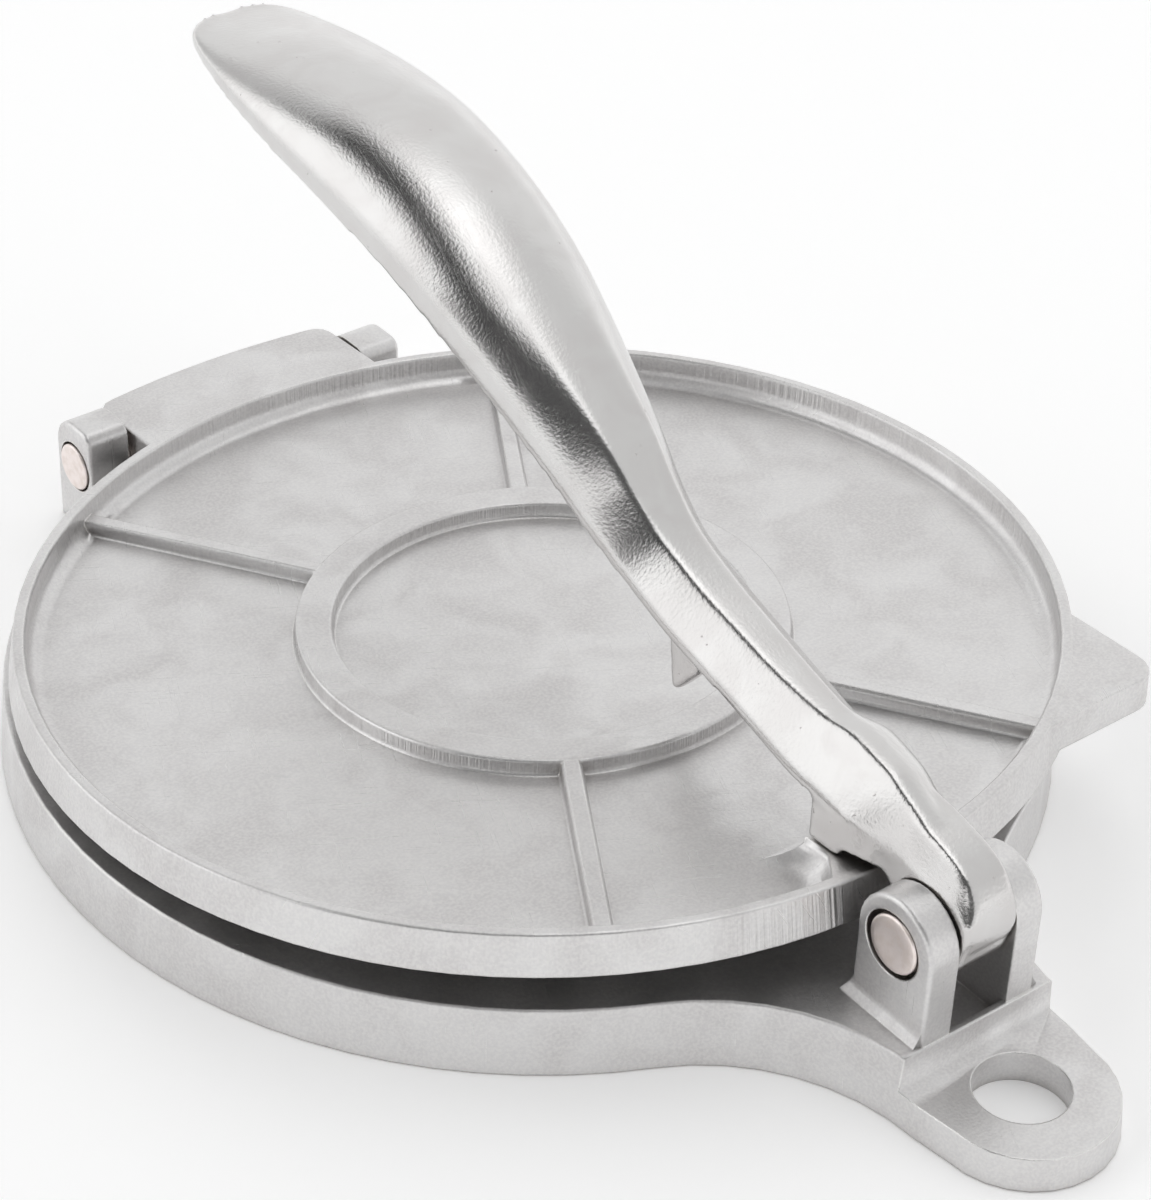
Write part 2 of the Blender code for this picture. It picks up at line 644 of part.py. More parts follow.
def add_web(plate):
    """The rear hinge web with a bowed rear edge, its knuckle below and the pin's bore."""
    root = rim_middle_radius()
    half_deg = math.degrees(math.asin(WEB_HALF_WIDTH / root))
    outline = arc(0, 0, root, 90 + half_deg, 90 - half_deg, ARC_STEPS)
    shoulder = WEB_REAR_REACH - WEB_BOW - WEB_CORNER_RADIUS
    inner = WEB_HALF_WIDTH - WEB_CORNER_RADIUS
    outline += arc(inner, shoulder, WEB_CORNER_RADIUS, 0, 90, ROUND_STEPS)
    for step in range(1, ARC_STEPS):
        across = inner * (1 - 2 * step / ARC_STEPS)
        outline.append((across, WEB_REAR_REACH - WEB_BOW * (across / inner) ** 2))
    outline += arc(-inner, shoulder, WEB_CORNER_RADIUS, 90, 180, ROUND_STEPS)
    high = PLATE_HEIGHT - TAB_DROP
    join(plate, extrude_z('web', outline, high - TAB_THICKNESS, high, PLATE_EDGE, PLATE_EDGE))
    y = HINGE_REACH + PLATE_SHIFT
    z = HINGE_HEIGHT - PLATE_BOTTOM
    merge = high - TAB_THICKNESS / 2
    profile = [(y - KNUCKLE_RADIUS, merge)]
    profile += arc(y, z, KNUCKLE_RADIUS, 180, 360, 2 * ARC_STEPS)
    profile += [(y + KNUCKLE_RADIUS, merge)]
    join(plate, extrude_x('knuckle', profile, -WEB_HALF_WIDTH, WEB_HALF_WIDTH))
    reach = WEB_HALF_WIDTH + CUT_OVERRUN
    hole = HINGE_PIN_RADIUS + HINGE_HOLE_PLAY
    cut(plate, rod_x('knuckle_bore', hole, -reach, reach, y, z))


def pad_outline(half_width, rim_half_width, inner_reach, flare):
    """The bearing pad from above: straight inner edge, widening sides, rim side within the rim."""
    rim = rim_middle_radius()
    wide = rim_half_width + flare
    half = half_width + flare
    near = -inner_reach + flare
    rim_deg = math.degrees(math.asin(wide / rim))
    outline = arc(0, 0, rim, 270 - rim_deg, 270 + rim_deg, ROUND_STEPS)
    middle = (near - PLATE_RIM_INNER_RADIUS) / 2
    return outline + [(half, middle), (half, near), (-half, near), (-half, middle)]


def add_pad(plate):
    """The pad on which the lever's foot bears, with concave flanks down to the floor."""
    low = PLATE_FLOOR
    high = PAD_TOP - PLATE_BOTTOM
    rings = []
    outline = pad_outline(PAD_HALF_WIDTH, PAD_RIM_HALF_WIDTH, PAD_INNER_REACH, PAD_FOOT_FLARE)
    rings.append([Vector((x, y, low - SINK)) for x, y in outline])
    for step in range(ROUND_STEPS + 2):
        share = step / (ROUND_STEPS + 1)
        flare = PAD_FOOT_FLARE * (1 - share) ** 2
        outline = pad_outline(PAD_HALF_WIDTH, PAD_RIM_HALF_WIDTH, PAD_INNER_REACH, flare)
        height = low + (high - low) * share
        rings.append([Vector((x, y, height)) for x, y in outline])
    join(plate, loft('pad', rings))


def build_plate():
    """The whole upper casting, closed on the lower one."""
    plate = revolve('top_plate_casting', plate_profile(), PLATE_STEPS)
    add_spokes(plate)
    add_tab(plate)
    add_web(plate)
    add_pad(plate)
    plate.data.transform(Matrix.Translation((0, -PLATE_SHIFT, PLATE_BOTTOM)))
    return plate


# Lever


def spline(rows, place):
    """Smooth value of a table at a place between 0 and the number of its last row."""
    last = len(rows) - 1
    index = min(int(place), last - 1)
    share = place - index
    before = rows[max(index - 1, 0)]
    here = rows[index]
    there = rows[index + 1]
    after = rows[min(index + 2, last)]
    values = []
    for a, b, c, d in zip(before, here, there, after):
        bend = 2 * a - 5 * b + 4 * c - d
        twist = 3 * (b - c) + d - a
        values.append(b + share * (c - a + share * (bend + share * twist)) / 2)
    return values


def lever_frames(steps):
    """Places along the lever: point on the lip line, its along and up directions, and sizes."""
    last = len(LEVER_STATION_SHARES) - 1
    frames = []
    for step in range(steps + 1):
        values = spline(LEVER_STATION_SHARES, last * step / steps)
        point = Vector((0, LEVER_REACH * values[0], LEVER_RISE * values[1]))
        frames.append([point, values])
    result = []
    for step, (point, values) in enumerate(frames):
        ahead = frames[min(step + 1, steps)][0]
        behind = frames[max(step - 1, 0)][0]
        along = (behind - ahead).normalized()
        up = Vector((0, -along.z, along.y))
        if up.z < 0:
            up = -up
        result.append((point, up, values))
    return result


def ease(value, start, end):
    """Smooth rise from 0 to 1 between two places."""
    share = min(max((value - start) / (end - start), 0), 1)
    return share * share * (3 - 2 * share)


def fullness(reach_share, right):
    """How full a wall is: round on the grip, lean on the neck, swollen on the right shoulder."""
    grip = ease(reach_share, NECK_START_SHARE, GRIP_START_SHARE)
    full = NECK_FULLNESS_SHARE + (GRIP_FULLNESS_SHARE - NECK_FULLNESS_SHARE) * grip
    shoulder = ease(reach_share, SHOULDER_START_SHARE, SHOULDER_FULL_SHARE) if right else 0
    return full + (SHOULDER_FULLNESS_SHARE - full) * shoulder


def section(half_width, depth, ridge, full, lip):
    """Half section from the lip's foot to the crest, as across and up."""
    points = [(half_width, 0), (half_width, lip)]
    for step in range(1, SECTION_STEPS + 1):
        share = step / SECTION_STEPS
        angle = math.pi / 2 * share
        round_x = half_width * math.cos(angle)
        round_z = lip + (depth - lip) * math.sin(angle)
        wall = min(share * 1.35, 1)
        lean_x = half_width + (ridge - half_width) * wall
        lean_z = lip + (depth - lip) * wall
        if share * 1.35 > 1:
            lean_x = ridge * (1 - share) / (1 - 1 / 1.35)
        points.append((lean_x + (round_x - lean_x) * full, lean_z + (round_z - lean_z) * full))
    return points


def lever_ring(frame, wall, bottom):
    """Closed ring of the lever's section at a frame, drawn in by a wall."""
    point, up, values = frame
    half_width = GRIP_HALF_WIDTH * values[2] - wall
    depth = GRIP_DEPTH * values[3] - wall
    ridge = (half_width + wall) * values[4]
    right = section(half_width, depth, ridge, fullness(values[0], True), LEVER_LIP)
    left = section(half_width, depth, ridge, fullness(values[0], False), LEVER_LIP)
    if wall:
        right[0] = (half_width, -bottom)
        left[0] = (half_width, -bottom)
    ring = [point + up * z + Vector((x, 0, 0)) for x, z in right[:-1]]
    ring.append(point + up * right[-1][1])
    ring += [point + up * z - Vector((x, 0, 0)) for x, z in reversed(left[:-1])]
    return ring


def head_profile(top_shares):
    """Side view of the head: foot gap line below, top line by shares of the barrel's radius."""
    radius = BARREL_RADIUS
    profile = []
    for along, up in ARCH_SHARES:
        profile.append((radius * along, radius * up))
    profile += arc(0, 0, radius, -5, -175, 2 * ARC_STEPS)
    for along, up in reversed(NOSE_SHARES):
        profile.append((radius * along, radius * up))
    for along, up in reversed(top_shares):
        profile.append((radius * along, radius * up))
    return profile


def pad_line(along):
    """Height over the pivot of the lever's foot, just above the raised pad, at a place along it."""
    opening = math.radians(REST_OPENING_DEG)
    lift = (PAD_TOP - HINGE_HEIGHT) / math.cos(opening)
    y = along - PIVOT_REACH
    raised = HINGE_HEIGHT + lift - (y - HINGE_REACH) * math.tan(opening)
    return raised + FOOT_GAP - PIVOT_HEIGHT


def add_head(lever):
    """Barrel, cheeks, ridge and foot, with the arch between foot and barrel."""
    rings = []
    crest = head_profile(CREST_SHARES)
    cheek = head_profile(CHEEK_SHARES)
    shoulder = head_profile([(along, up - CREST_EDGE_SHARE) for along, up in CREST_SHARES])
    width = BARREL_HALF_WIDTH
    places = ((-width, cheek), (-RIDGE_HALF_WIDTH, crest), (width - CREST_EDGE, crest), (width, shoulder))
    for place, profile in places:
        rings.append([Vector((place, y, z)) for y, z in profile])
    join(lever, loft('head', rings))
    far = FOOT_FAR_REACH
    near = FOOT_NEAR_REACH
    radius = BARREL_RADIUS
    top = radius * 1.40
    stations = (
        (far, FOOT_HALF_WIDTH, pad_line(far), top),
        (near, FOOT_HALF_WIDTH, pad_line(near), top),
        (near - SINK, FOOT_HALF_WIDTH, radius * 0.50, top),
        (radius * 1.20, BARREL_HALF_WIDTH, radius * 0.55, radius * 1.25),
    )
    rings = []
    for along, half, low, high in stations:
        corners = ((-half, low), (half, low), (half, high), (-half, high))
        rings.append([Vector((x, along, z)) for x, z in corners])
    join(lever, loft('foot', rings))


def add_nub(lever):
    """The pressing nub under the neck, a flat wedge rooted in the lever's roof."""
    profile = []
    for along, up in NUB_SHARES:
        profile.append((NUB_TIP_REACH * along, NUB_TIP_HEIGHT * up))
    join(lever, extrude_x('nub', profile, -NUB_HALF_WIDTH, NUB_HALF_WIDTH))


def build_lever():
    """The whole lever casting at rest: hollow grip and neck, nub, foot and barrel."""
    frames = lever_frames(LEVER_STEPS)
    lever = loft('lever_casting', [lever_ring(frame, 0, 0) for frame in frames])
    inner_frames = lever_frames(HOLLOW_STEPS)
    inside = [frame for frame in inner_frames if HOLLOW_END_SHARE < frame[2][0] < HOLLOW_TIP_SHARE]
    cut(lever, loft('hollow', [lever_ring(frame, LEVER_WALL, CUT_OVERRUN) for frame in inside]))
    add_nub(lever)
    add_head(lever)
    reach = BARREL_HALF_WIDTH + CUT_OVERRUN
    cut(lever, rod_x('barrel_bore', LEVER_PIN_RADIUS + BARREL_HOLE_PLAY, -reach, reach, 0, 0))
    lever.data.transform(Matrix.Translation(PIVOT_POINT))
    return lever


# Pins


def build_pin(name, radius, reach, proud, point):
    """A round pin along X with rounded ends, a little proud of its ears."""
    end = reach + proud
    return rod_x(name, radius, -end, end, point.y, point.z, proud)


def main():
    """Build every piece and give it its metal."""
    clear_scene()
    no_turn = 0
    finish(build_base(), metal('cast_aluminium_base', (0.63, 0.62, 0.61), 0.42), Vector((0, 0, 0)), no_turn)
    plate_metal = metal('cast_aluminium_plate', (0.63, 0.62, 0.61), 0.40)
    finish(build_plate(), plate_metal, HINGE_POINT, REST_OPENING_DEG)
    finish(build_lever(), metal('polished_aluminium_lever', (0.66, 0.65, 0.64), 0.28), PIVOT_POINT, no_turn)
    lever_pin = build_pin('lever_pin', LEVER_PIN_RADIUS, CLEVIS_OUTER, LEVER_PIN_PROUD, PIVOT_POINT)
    finish(lever_pin, metal('steel_lever_pin', (0.62, 0.58, 0.55), 0.35), PIVOT_POINT, no_turn)
    hinge_pin = build_pin('hinge_pin', HINGE_PIN_RADIUS, HINGE_EAR_OUTER, HINGE_PIN_PROUD, HINGE_POINT)
    finish(hinge_pin, metal('steel_hinge_pin', (0.62, 0.59, 0.57), 0.35), HINGE_POINT, no_turn)


main()
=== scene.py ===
"""Looks of a cast aluminium dough press: blasted castings, a polished lever and two bare steel pins.

Lengths are in metres in the frame's own coordinates, +Z is up and +Y points to the rear hinge.
"""

from __future__ import annotations

import logging
import math
from dataclasses import dataclass
from enum import Enum

import bmesh
import bpy
import numpy as np
from mathutils import Matrix, Vector


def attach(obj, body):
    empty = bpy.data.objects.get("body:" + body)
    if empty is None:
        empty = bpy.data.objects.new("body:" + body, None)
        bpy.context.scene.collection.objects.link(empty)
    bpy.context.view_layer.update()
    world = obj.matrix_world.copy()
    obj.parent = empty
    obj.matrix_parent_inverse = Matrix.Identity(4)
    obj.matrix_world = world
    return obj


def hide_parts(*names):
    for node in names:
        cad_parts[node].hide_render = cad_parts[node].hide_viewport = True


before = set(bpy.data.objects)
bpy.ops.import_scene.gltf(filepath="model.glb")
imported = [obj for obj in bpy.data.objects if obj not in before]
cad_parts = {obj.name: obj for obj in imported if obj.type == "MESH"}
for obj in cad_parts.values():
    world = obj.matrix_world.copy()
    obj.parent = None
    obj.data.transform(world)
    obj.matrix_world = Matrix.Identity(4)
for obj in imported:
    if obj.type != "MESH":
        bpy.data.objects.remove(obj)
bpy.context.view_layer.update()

LOG = logging.getLogger("press")
MILLIMETRE = 0.001
WELD_DISTANCE = 0.00002
SMOOTH_LIMIT_DEG = 35.0
FLAT_LIMIT_DEG = 0.5
FLAT_FACE_WEIGHT = 80
SCRATCH_EDGE = 0.04

# The pivots' places, which the lever and both pins are drawn about
LEVER_PIVOT = (0.0, -0.096593, 0.0309)
HINGE_PIVOT = (0.0, 0.125307, 0.0152)
PLATE_CENTRE = (0.0, 0.0165, 0.0)
BASE_CENTRE = (0.0, 0.020407, 0.0)


class Body(Enum):
    """The bodies that pieces ride on."""

    BASE = "base"
    TOP_PLATE = "top_plate"
    LEVER = "lever"
    LEVER_PIN = "lever_pivot"


class Walls(Enum):
    """How the outer wall of a casting was finished."""

    AS_CAST = 0.0
    TURNED = 1.0


def linear(colour: str) -> tuple[float, float, float, float]:
    """Turn an sRGB hex colour into linear values.

    Args:
        colour: six hex digits after a hash sign.

    Returns:
        Red, green, blue in linear light, and full opacity.
    """
    channels = []
    for start in (1, 3, 5):
        value = int(colour[start:start + 2], 16) / 255
        channels.append(value / 12.92 if value <= 0.04045 else ((value + 0.055) / 1.055) ** 2.4)
    return channels[0], channels[1], channels[2], 1.0


def per_size(millimetres: float) -> float:
    """The scale of a pattern whose marks are this many millimetres across."""
    return 1 / (millimetres * MILLIMETRE)


def add(
    tree: bpy.types.NodeTree,
    kind: str,
    inputs: dict | None = None,
    **settings: object,
) -> bpy.types.Node:
    """Add a node with its settings, values and links.

    Args:
        tree: node tree of a material or world.
        kind: the node's class without its ShaderNode prefix.
        inputs: input name or number to a value or to the socket that feeds it.
        settings: properties of the node itself.

    Returns:
        The new node.
    """
    node = tree.nodes.new("ShaderNode" + kind)
    for name, value in settings.items():
        setattr(node, name, value)
    for name, value in (inputs or {}).items():
        if isinstance(value, bpy.types.NodeSocket):
            tree.links.new(value, node.inputs[name])
        else:
            node.inputs[name].default_value = value
    return node


def mixed(
    tree: bpy.types.NodeTree,
    factor: bpy.types.NodeSocket,
    first: bpy.types.NodeSocket | tuple,
    second: bpy.types.NodeSocket | tuple,
    amount: float = 1.0,
) -> bpy.types.NodeSocket:
    """Blend two colours by a mask.

    Args:
        tree: node tree of a material or world.
        factor: the mask.
        first: colour where the mask is 0.
        second: colour where the mask is 1.
        amount: share of the second colour that the full mask gives.

    Returns:
        The blended colour.
    """
    if amount < 1.0:
        factor = add(tree, "Math", {0: factor, 1: amount}, operation="MULTIPLY").outputs[0]
    inputs = {"Factor": factor, "A": first, "B": second}
    return add(tree, "Mix", inputs, data_type="RGBA").outputs["Result"]


def noise(
    tree: bpy.types.NodeTree,
    place: bpy.types.NodeSocket,
    millimetres: float,
    detail: float,
    distortion: float = 0.0,
) -> bpy.types.NodeSocket:
    """Cloudy noise of one size.

    Args:
        tree: node tree of a material.
        place: coordinates on the piece.
        millimetres: size of its marks.
        detail: how many finer layers it has.
        distortion: how far its marks are drawn out.

    Returns:
        The noise's level.
    """
    inputs = {"Vector": place, "Scale": per_size(millimetres), "Detail": detail, "Distortion": distortion}
    return add(tree, "TexNoise", inputs).outputs["Fac"]


def spread(
    tree: bpy.types.NodeTree,
    source: bpy.types.NodeSocket,
    low: float,
    high: float,
) -> bpy.types.NodeSocket:
    """Turn a mask into a value that runs evenly from low to high.

    Args:
        tree: node tree of a material.
        source: the mask.
        low: value where the mask is 0.
        high: value where the mask is 1.

    Returns:
        The value.
    """
    return add(tree, "MapRange", {"Value": source, "To Min": low, "To Max": high}).outputs["Result"]


def bumps(
    tree: bpy.types.NodeTree,
    normal: bpy.types.NodeSocket | None,
    layers: tuple,
) -> bpy.types.NodeSocket:
    """Lay reliefs over one another, each on the normal of the one before.

    Args:
        tree: node tree of a material.
        normal: the normal to start from, or None for the surface's own.
        layers: height, its distance in metres, negative where it is sunk, and its strength.

    Returns:
        The final normal.
    """
    for height, distance, strength in layers:
        inputs = {"Height": height, "Distance": abs(distance), "Strength": strength}
        if normal:
            inputs["Normal"] = normal
        normal = add(tree, "Bump", inputs, invert=distance < 0).outputs["Normal"]
    return normal


def grey(level: float) -> tuple[float, float, float, float]:
    """A neutral colour of one level."""
    return level, level, level, 1.0


def mask(
    tree: bpy.types.NodeTree,
    source: bpy.types.NodeSocket,
    low: float,
    high: float,
) -> bpy.types.NodeSocket:
    """Spread a value so that it runs from 0 at low to 1 at high.

    Args:
        tree: node tree of a material.
        source: the value.
        low: level that gives 0.
        high: level that gives 1.

    Returns:
        The spread value, held between 0 and 1.
    """
    inputs = {"Value": source, "From Min": low, "From Max": high}
    return add(tree, "MapRange", inputs, clamp=True, interpolation_type="SMOOTHSTEP").outputs["Result"]


def new_material(name: str) -> tuple[bpy.types.Material, bpy.types.NodeTree, bpy.types.Node]:
    """A material with an empty metal shader.

    Args:
        name: what the real stuff is.

    Returns:
        The material, its tree and its shader.
    """
    material = bpy.data.materials.new(name)
    material.use_nodes = True
    tree = material.node_tree
    shader = tree.nodes["Principled BSDF"]
    shader.inputs["Metallic"].default_value = 1.0
    return material, tree, shader


def scratch_mask(
    tree: bpy.types.NodeTree,
    place: bpy.types.NodeSocket,
    turn_deg: float,
    width_mm: float,
    length_mm: float,
    threshold: float,
) -> bpy.types.NodeSocket:
    """Fine straight scratches: noise stretched along one direction and cut off near its peaks.

    Args:
        tree: node tree of a material.
        place: coordinates on the piece.
        turn_deg: direction of the scratches seen from above.
        width_mm: width of a scratch.
        length_mm: its length.
        threshold: level of the noise at which a scratch starts.

    Returns:
        A mask that is 1 in a scratch.
    """
    turned = add(tree, "Mapping", {"Vector": place, "Rotation": (0.0, 0.0, math.radians(turn_deg))})
    scale = (per_size(width_mm), per_size(length_mm), per_size(length_mm))
    stretched = add(tree, "Mapping", {"Vector": turned.outputs["Vector"], "Scale": scale})
    streaks = add(tree, "TexNoise", {"Vector": stretched.outputs["Vector"], "Scale": 1.0, "Detail": 1.0})
    return mask(tree, streaks.outputs["Fac"], threshold, threshold + SCRATCH_EDGE)


@dataclass(frozen=True)
class CastAluminium:
    """Bead blasted cast aluminium: light, silky and slightly mottled, with painted shade in its corners.

    The eye sees a fine even speckle, faint cloudy stains, a few hair scratches and edges painted
    bright, partly as wear from handling and partly as a painted highlight.
    """

    tone: str = "#DBDADA"
    shade: str = "#D1CFCF"
    # Colour of the bright specks, and of the bright edges, which are partly wear and partly a painted
    # highlight
    bright_speck_wear_and_highlight: str = "#EBEAE8"
    # Colour of the painted shade in inner corners
    painted_shade_tone: str = "#77706A"
    roughness: float = 0.40
    walls: Walls = Walls.AS_CAST
    centre: tuple[float, float, float] = BASE_CENTRE
    wall_lines: float = 640.0
    # Sizes of the marks in millimetres
    grain_mm: float = 0.60
    edge_mm: float = 0.55
    cloud_mm: float = 16.0
    stain_mm: float = 34.0
    uneven_mm: float = 5.5
    pit_mm: float = 2.4
    # Noise levels between which each mark comes in
    cloud_band: tuple[float, float] = (0.35, 0.68)
    stain_band: tuple[float, float] = (0.54, 0.63)
    speck_band: tuple[float, float] = (0.30, 0.72)
    pit_band: tuple[float, float] = (0.02, 0.16)
    # Ambient occlusion levels between which the painted shade in corners comes in
    painted_shade_band: tuple[float, float] = (0.72, 0.20)
    wall_band: tuple[float, float] = (0.5, 0.2)
    # Levels of the bevel turn between which the bright edge, partly wear and partly painted highlight, comes
    # in
    edge_band: tuple[float, float] = (0.992, 0.90)
    # How much of its colour or gloss each mark gives
    stain_amount: float = 0.22
    speck_amount: float = 0.45
    # Strength and reach of the painted shade in corners
    painted_shade_amount: float = 0.70
    painted_shade_reach: float = 0.005
    smoothest: float = -0.03
    roughest: float = 0.07
    edge_polish: float = -0.14
    scratch_polish: float = -0.10
    # Turn in degrees, width and length in millimetres, and noise level of each set of scratches
    scratches: tuple = ((24.0, 0.22, 26.0, 0.69), (-57.0, 0.18, 18.0, 0.70))

    def colour(
        self,
        tree: bpy.types.NodeTree,
        place: bpy.types.NodeSocket,
        edge: bpy.types.NodeSocket,
    ) -> tuple[bpy.types.NodeSocket, bpy.types.NodeSocket]:
        """Cloudy tone, stained patches, edges painted bright as wear and as a painted highlight, and painted
        shade in inner corners.

        Args:
            tree: node tree of the material.
            place: coordinates on the piece.
            edge: mask of the edges, which are painted bright, partly as wear and partly as a painted
                highlight.

        Returns:
            The colour and the mottling that roughness follows.
        """
        mottle = mask(tree, noise(tree, place, self.cloud_mm, 5.0, 0.6), *self.cloud_band)
        stains = mask(tree, noise(tree, place, self.stain_mm, 3.0, 1.4), *self.stain_band)
        specks = mask(tree, noise(tree, place, self.grain_mm, 2.0), *self.speck_band)
        # Painted shade: ambient occlusion over a short reach darkens the inner corners towards a dark tone
        corner = add(tree, "AmbientOcclusion", {"Distance": self.painted_shade_reach}, samples=8)
        corner_shade_mask = mask(tree, corner.outputs["AO"], *self.painted_shade_band)
        colour = mixed(tree, mottle, linear(self.tone), linear(self.shade))
        colour = mixed(tree, stains, colour, linear(self.shade), self.stain_amount)
        colour = mixed(tree, specks, colour, linear(self.bright_speck_wear_and_highlight), self.speck_amount)
        # Painted highlight: the edges are mixed to the bright tone, partly as wear and partly as a painted
        # highlight
        colour = mixed(tree, edge, colour, linear(self.bright_speck_wear_and_highlight))
        return mixed(tree, corner_shade_mask, colour, linear(self.painted_shade_tone), self.painted_shade_amount), mottle

    def turning_lines(
        self,
        tree: bpy.types.NodeTree,
        place: bpy.types.NodeSocket,
    ) -> tuple[bpy.types.NodeSocket, bpy.types.NodeSocket]:
        """Fine upright lines around the casting's outer wall, where it was turned.

        Args:
            tree: node tree of the material.
            place: coordinates on the piece.

        Returns:
            The lines' height and their strength, which is 0 away from upright walls.
        """
        turned = add(tree, "Mapping", {"Vector": place, "Location": tuple(-value for value in self.centre)})
        around = add(tree, "TexGradient", {"Vector": turned.outputs["Vector"]}, gradient_type="RADIAL")
        count = add(tree, "Math", {0: around.outputs["Fac"], 1: self.wall_lines}, operation="MULTIPLY")
        inputs = {"W": count.outputs[0], "Scale": 1.0, "Detail": 3.0}
        lines = add(tree, "TexNoise", inputs, noise_dimensions="1D")
        face = add(tree, "NewGeometry")
        upright = add(tree, "SeparateXYZ", {"Vector": face.outputs["Normal"]})
        level = add(tree, "Math", {0: upright.outputs["Z"]}, operation="ABSOLUTE")
        wall = mask(tree, level.outputs[0], *self.wall_band)
        amount = add(tree, "Math", {0: wall, 1: self.walls.value}, operation="MULTIPLY")
        return lines.outputs["Fac"], amount.outputs[0]

    def relief(
        self,
        tree: bpy.types.NodeTree,
        place: bpy.types.NodeSocket,
        bevel: bpy.types.NodeSocket,
    ) -> tuple[bpy.types.NodeSocket, bpy.types.NodeSocket]:
        """Blasted grain, cast unevenness, small pits, hair scratches and turning marks on the wall.

        Args:
            tree: node tree of the material.
            place: coordinates on the piece.
            bevel: normal with softened edges.

        Returns:
            The final normal and the scratches' mask.
        """
        pit = add(tree, "TexVoronoi", {"Vector": place, "Scale": per_size(self.pit_mm)}, feature="F1")
        pits = mask(tree, pit.outputs["Distance"], *self.pit_band)
        first, second = (scratch_mask(tree, place, *row) for row in self.scratches)
        scratches = add(tree, "Math", {0: first, 1: second}, operation="MAXIMUM").outputs[0]
        lines, amount = self.turning_lines(tree, place)
        layers = (
            (noise(tree, place, self.uneven_mm, 2.0), 0.00016, 0.35),
            (pits, 0.00003, 0.45),
            (scratches, -0.00002, 0.5),
            (noise(tree, place, self.grain_mm, 3.0), 0.00008, 0.55),
            (lines, 0.00016, amount),
        )
        return bumps(tree, bevel, layers), scratches

    def material(self, name: str) -> bpy.types.Material:
        """The finished material."""
        material, tree, shader = new_material(name)
        place = add(tree, "TexCoord").outputs["Object"]
        bevel = add(tree, "Bevel", {"Radius": self.edge_mm * MILLIMETRE}, samples=6)
        face = add(tree, "NewGeometry")
        inputs = {0: bevel.outputs["Normal"], 1: face.outputs["Normal"]}
        turn = add(tree, "VectorMath", inputs, operation="DOT_PRODUCT")
        edge = mask(tree, turn.outputs["Value"], *self.edge_band)
        colour, mottle = self.colour(tree, place, edge)
        normal, scratches = self.relief(tree, place, bevel.outputs["Normal"])
        rough = spread(tree, mottle, self.roughness + self.smoothest, self.roughness + self.roughest)
        smoother = add(tree, "Math", {0: edge, 1: self.edge_polish, 2: rough}, operation="MULTIPLY_ADD")
        inputs = {0: scratches, 1: self.scratch_polish, 2: smoother.outputs[0]}
        final = add(tree, "Math", inputs, operation="MULTIPLY_ADD", use_clamp=True)
        tree.links.new(colour, shader.inputs["Base Color"])
        tree.links.new(final.outputs[0], shader.inputs["Roughness"])
        tree.links.new(normal, shader.inputs["Normal"])
        return material


@dataclass(frozen=True)
class PolishedAluminium:
    """Hand polished cast aluminium: bright and mirror like, with pits and buffing lines left in it.

    The eye sees long reflections broken up by a fine sparkle, and dark specks where pores opened.
    """

    tone: str = "#D8D7D6"
    shade: str = "#D4D2D1"
    pore: str = "#85807B"
    roughness: float = 0.21
    grain_mm: float = 0.62
    pore_mm: float = 1.3
    cloud_mm: float = 9.0
    uneven_mm: float = 7.0
    cloud_band: tuple[float, float] = (0.35, 0.68)
    pore_band: tuple[float, float] = (0.70, 0.80)
    pore_amount: float = 0.5
    pore_roughness: float = 0.2
    smoothest: float = -0.01
    roughest: float = 0.02
    # Turn in degrees, width and length in millimetres, and noise level of the buffing lines
    buffing: tuple = (8.0, 0.16, 22.0, 0.64)

    def material(self, name: str) -> bpy.types.Material:
        """The finished material."""
        material, tree, shader = new_material(name)
        place = add(tree, "TexCoord").outputs["Object"]
        pores = mask(tree, noise(tree, place, self.pore_mm, 3.0), *self.pore_band)
        mottle = mask(tree, noise(tree, place, self.cloud_mm, 4.0, 0.5), *self.cloud_band)
        tone = mixed(tree, mottle, linear(self.tone), linear(self.shade))
        colour = mixed(tree, pores, tone, linear(self.pore), self.pore_amount)
        rough = spread(tree, mottle, self.roughness + self.smoothest, self.roughness + self.roughest)
        inputs = {0: pores, 1: self.pore_roughness, 2: rough}
        final = add(tree, "Math", inputs, operation="MULTIPLY_ADD", use_clamp=True)
        layers = (
            (noise(tree, place, self.uneven_mm, 2.0), 0.00006, 0.25),
            (noise(tree, place, self.grain_mm, 3.0), 0.00008, 0.62),
            (scratch_mask(tree, place, *self.buffing), 0.00001, 0.25),
            (pores, -0.00003, 0.40),
        )
        tree.links.new(colour, shader.inputs["Base Color"])
        tree.links.new(final.outputs[0], shader.inputs["Roughness"])
        tree.links.new(bumps(tree, None, layers), shader.inputs["Normal"])
        return material


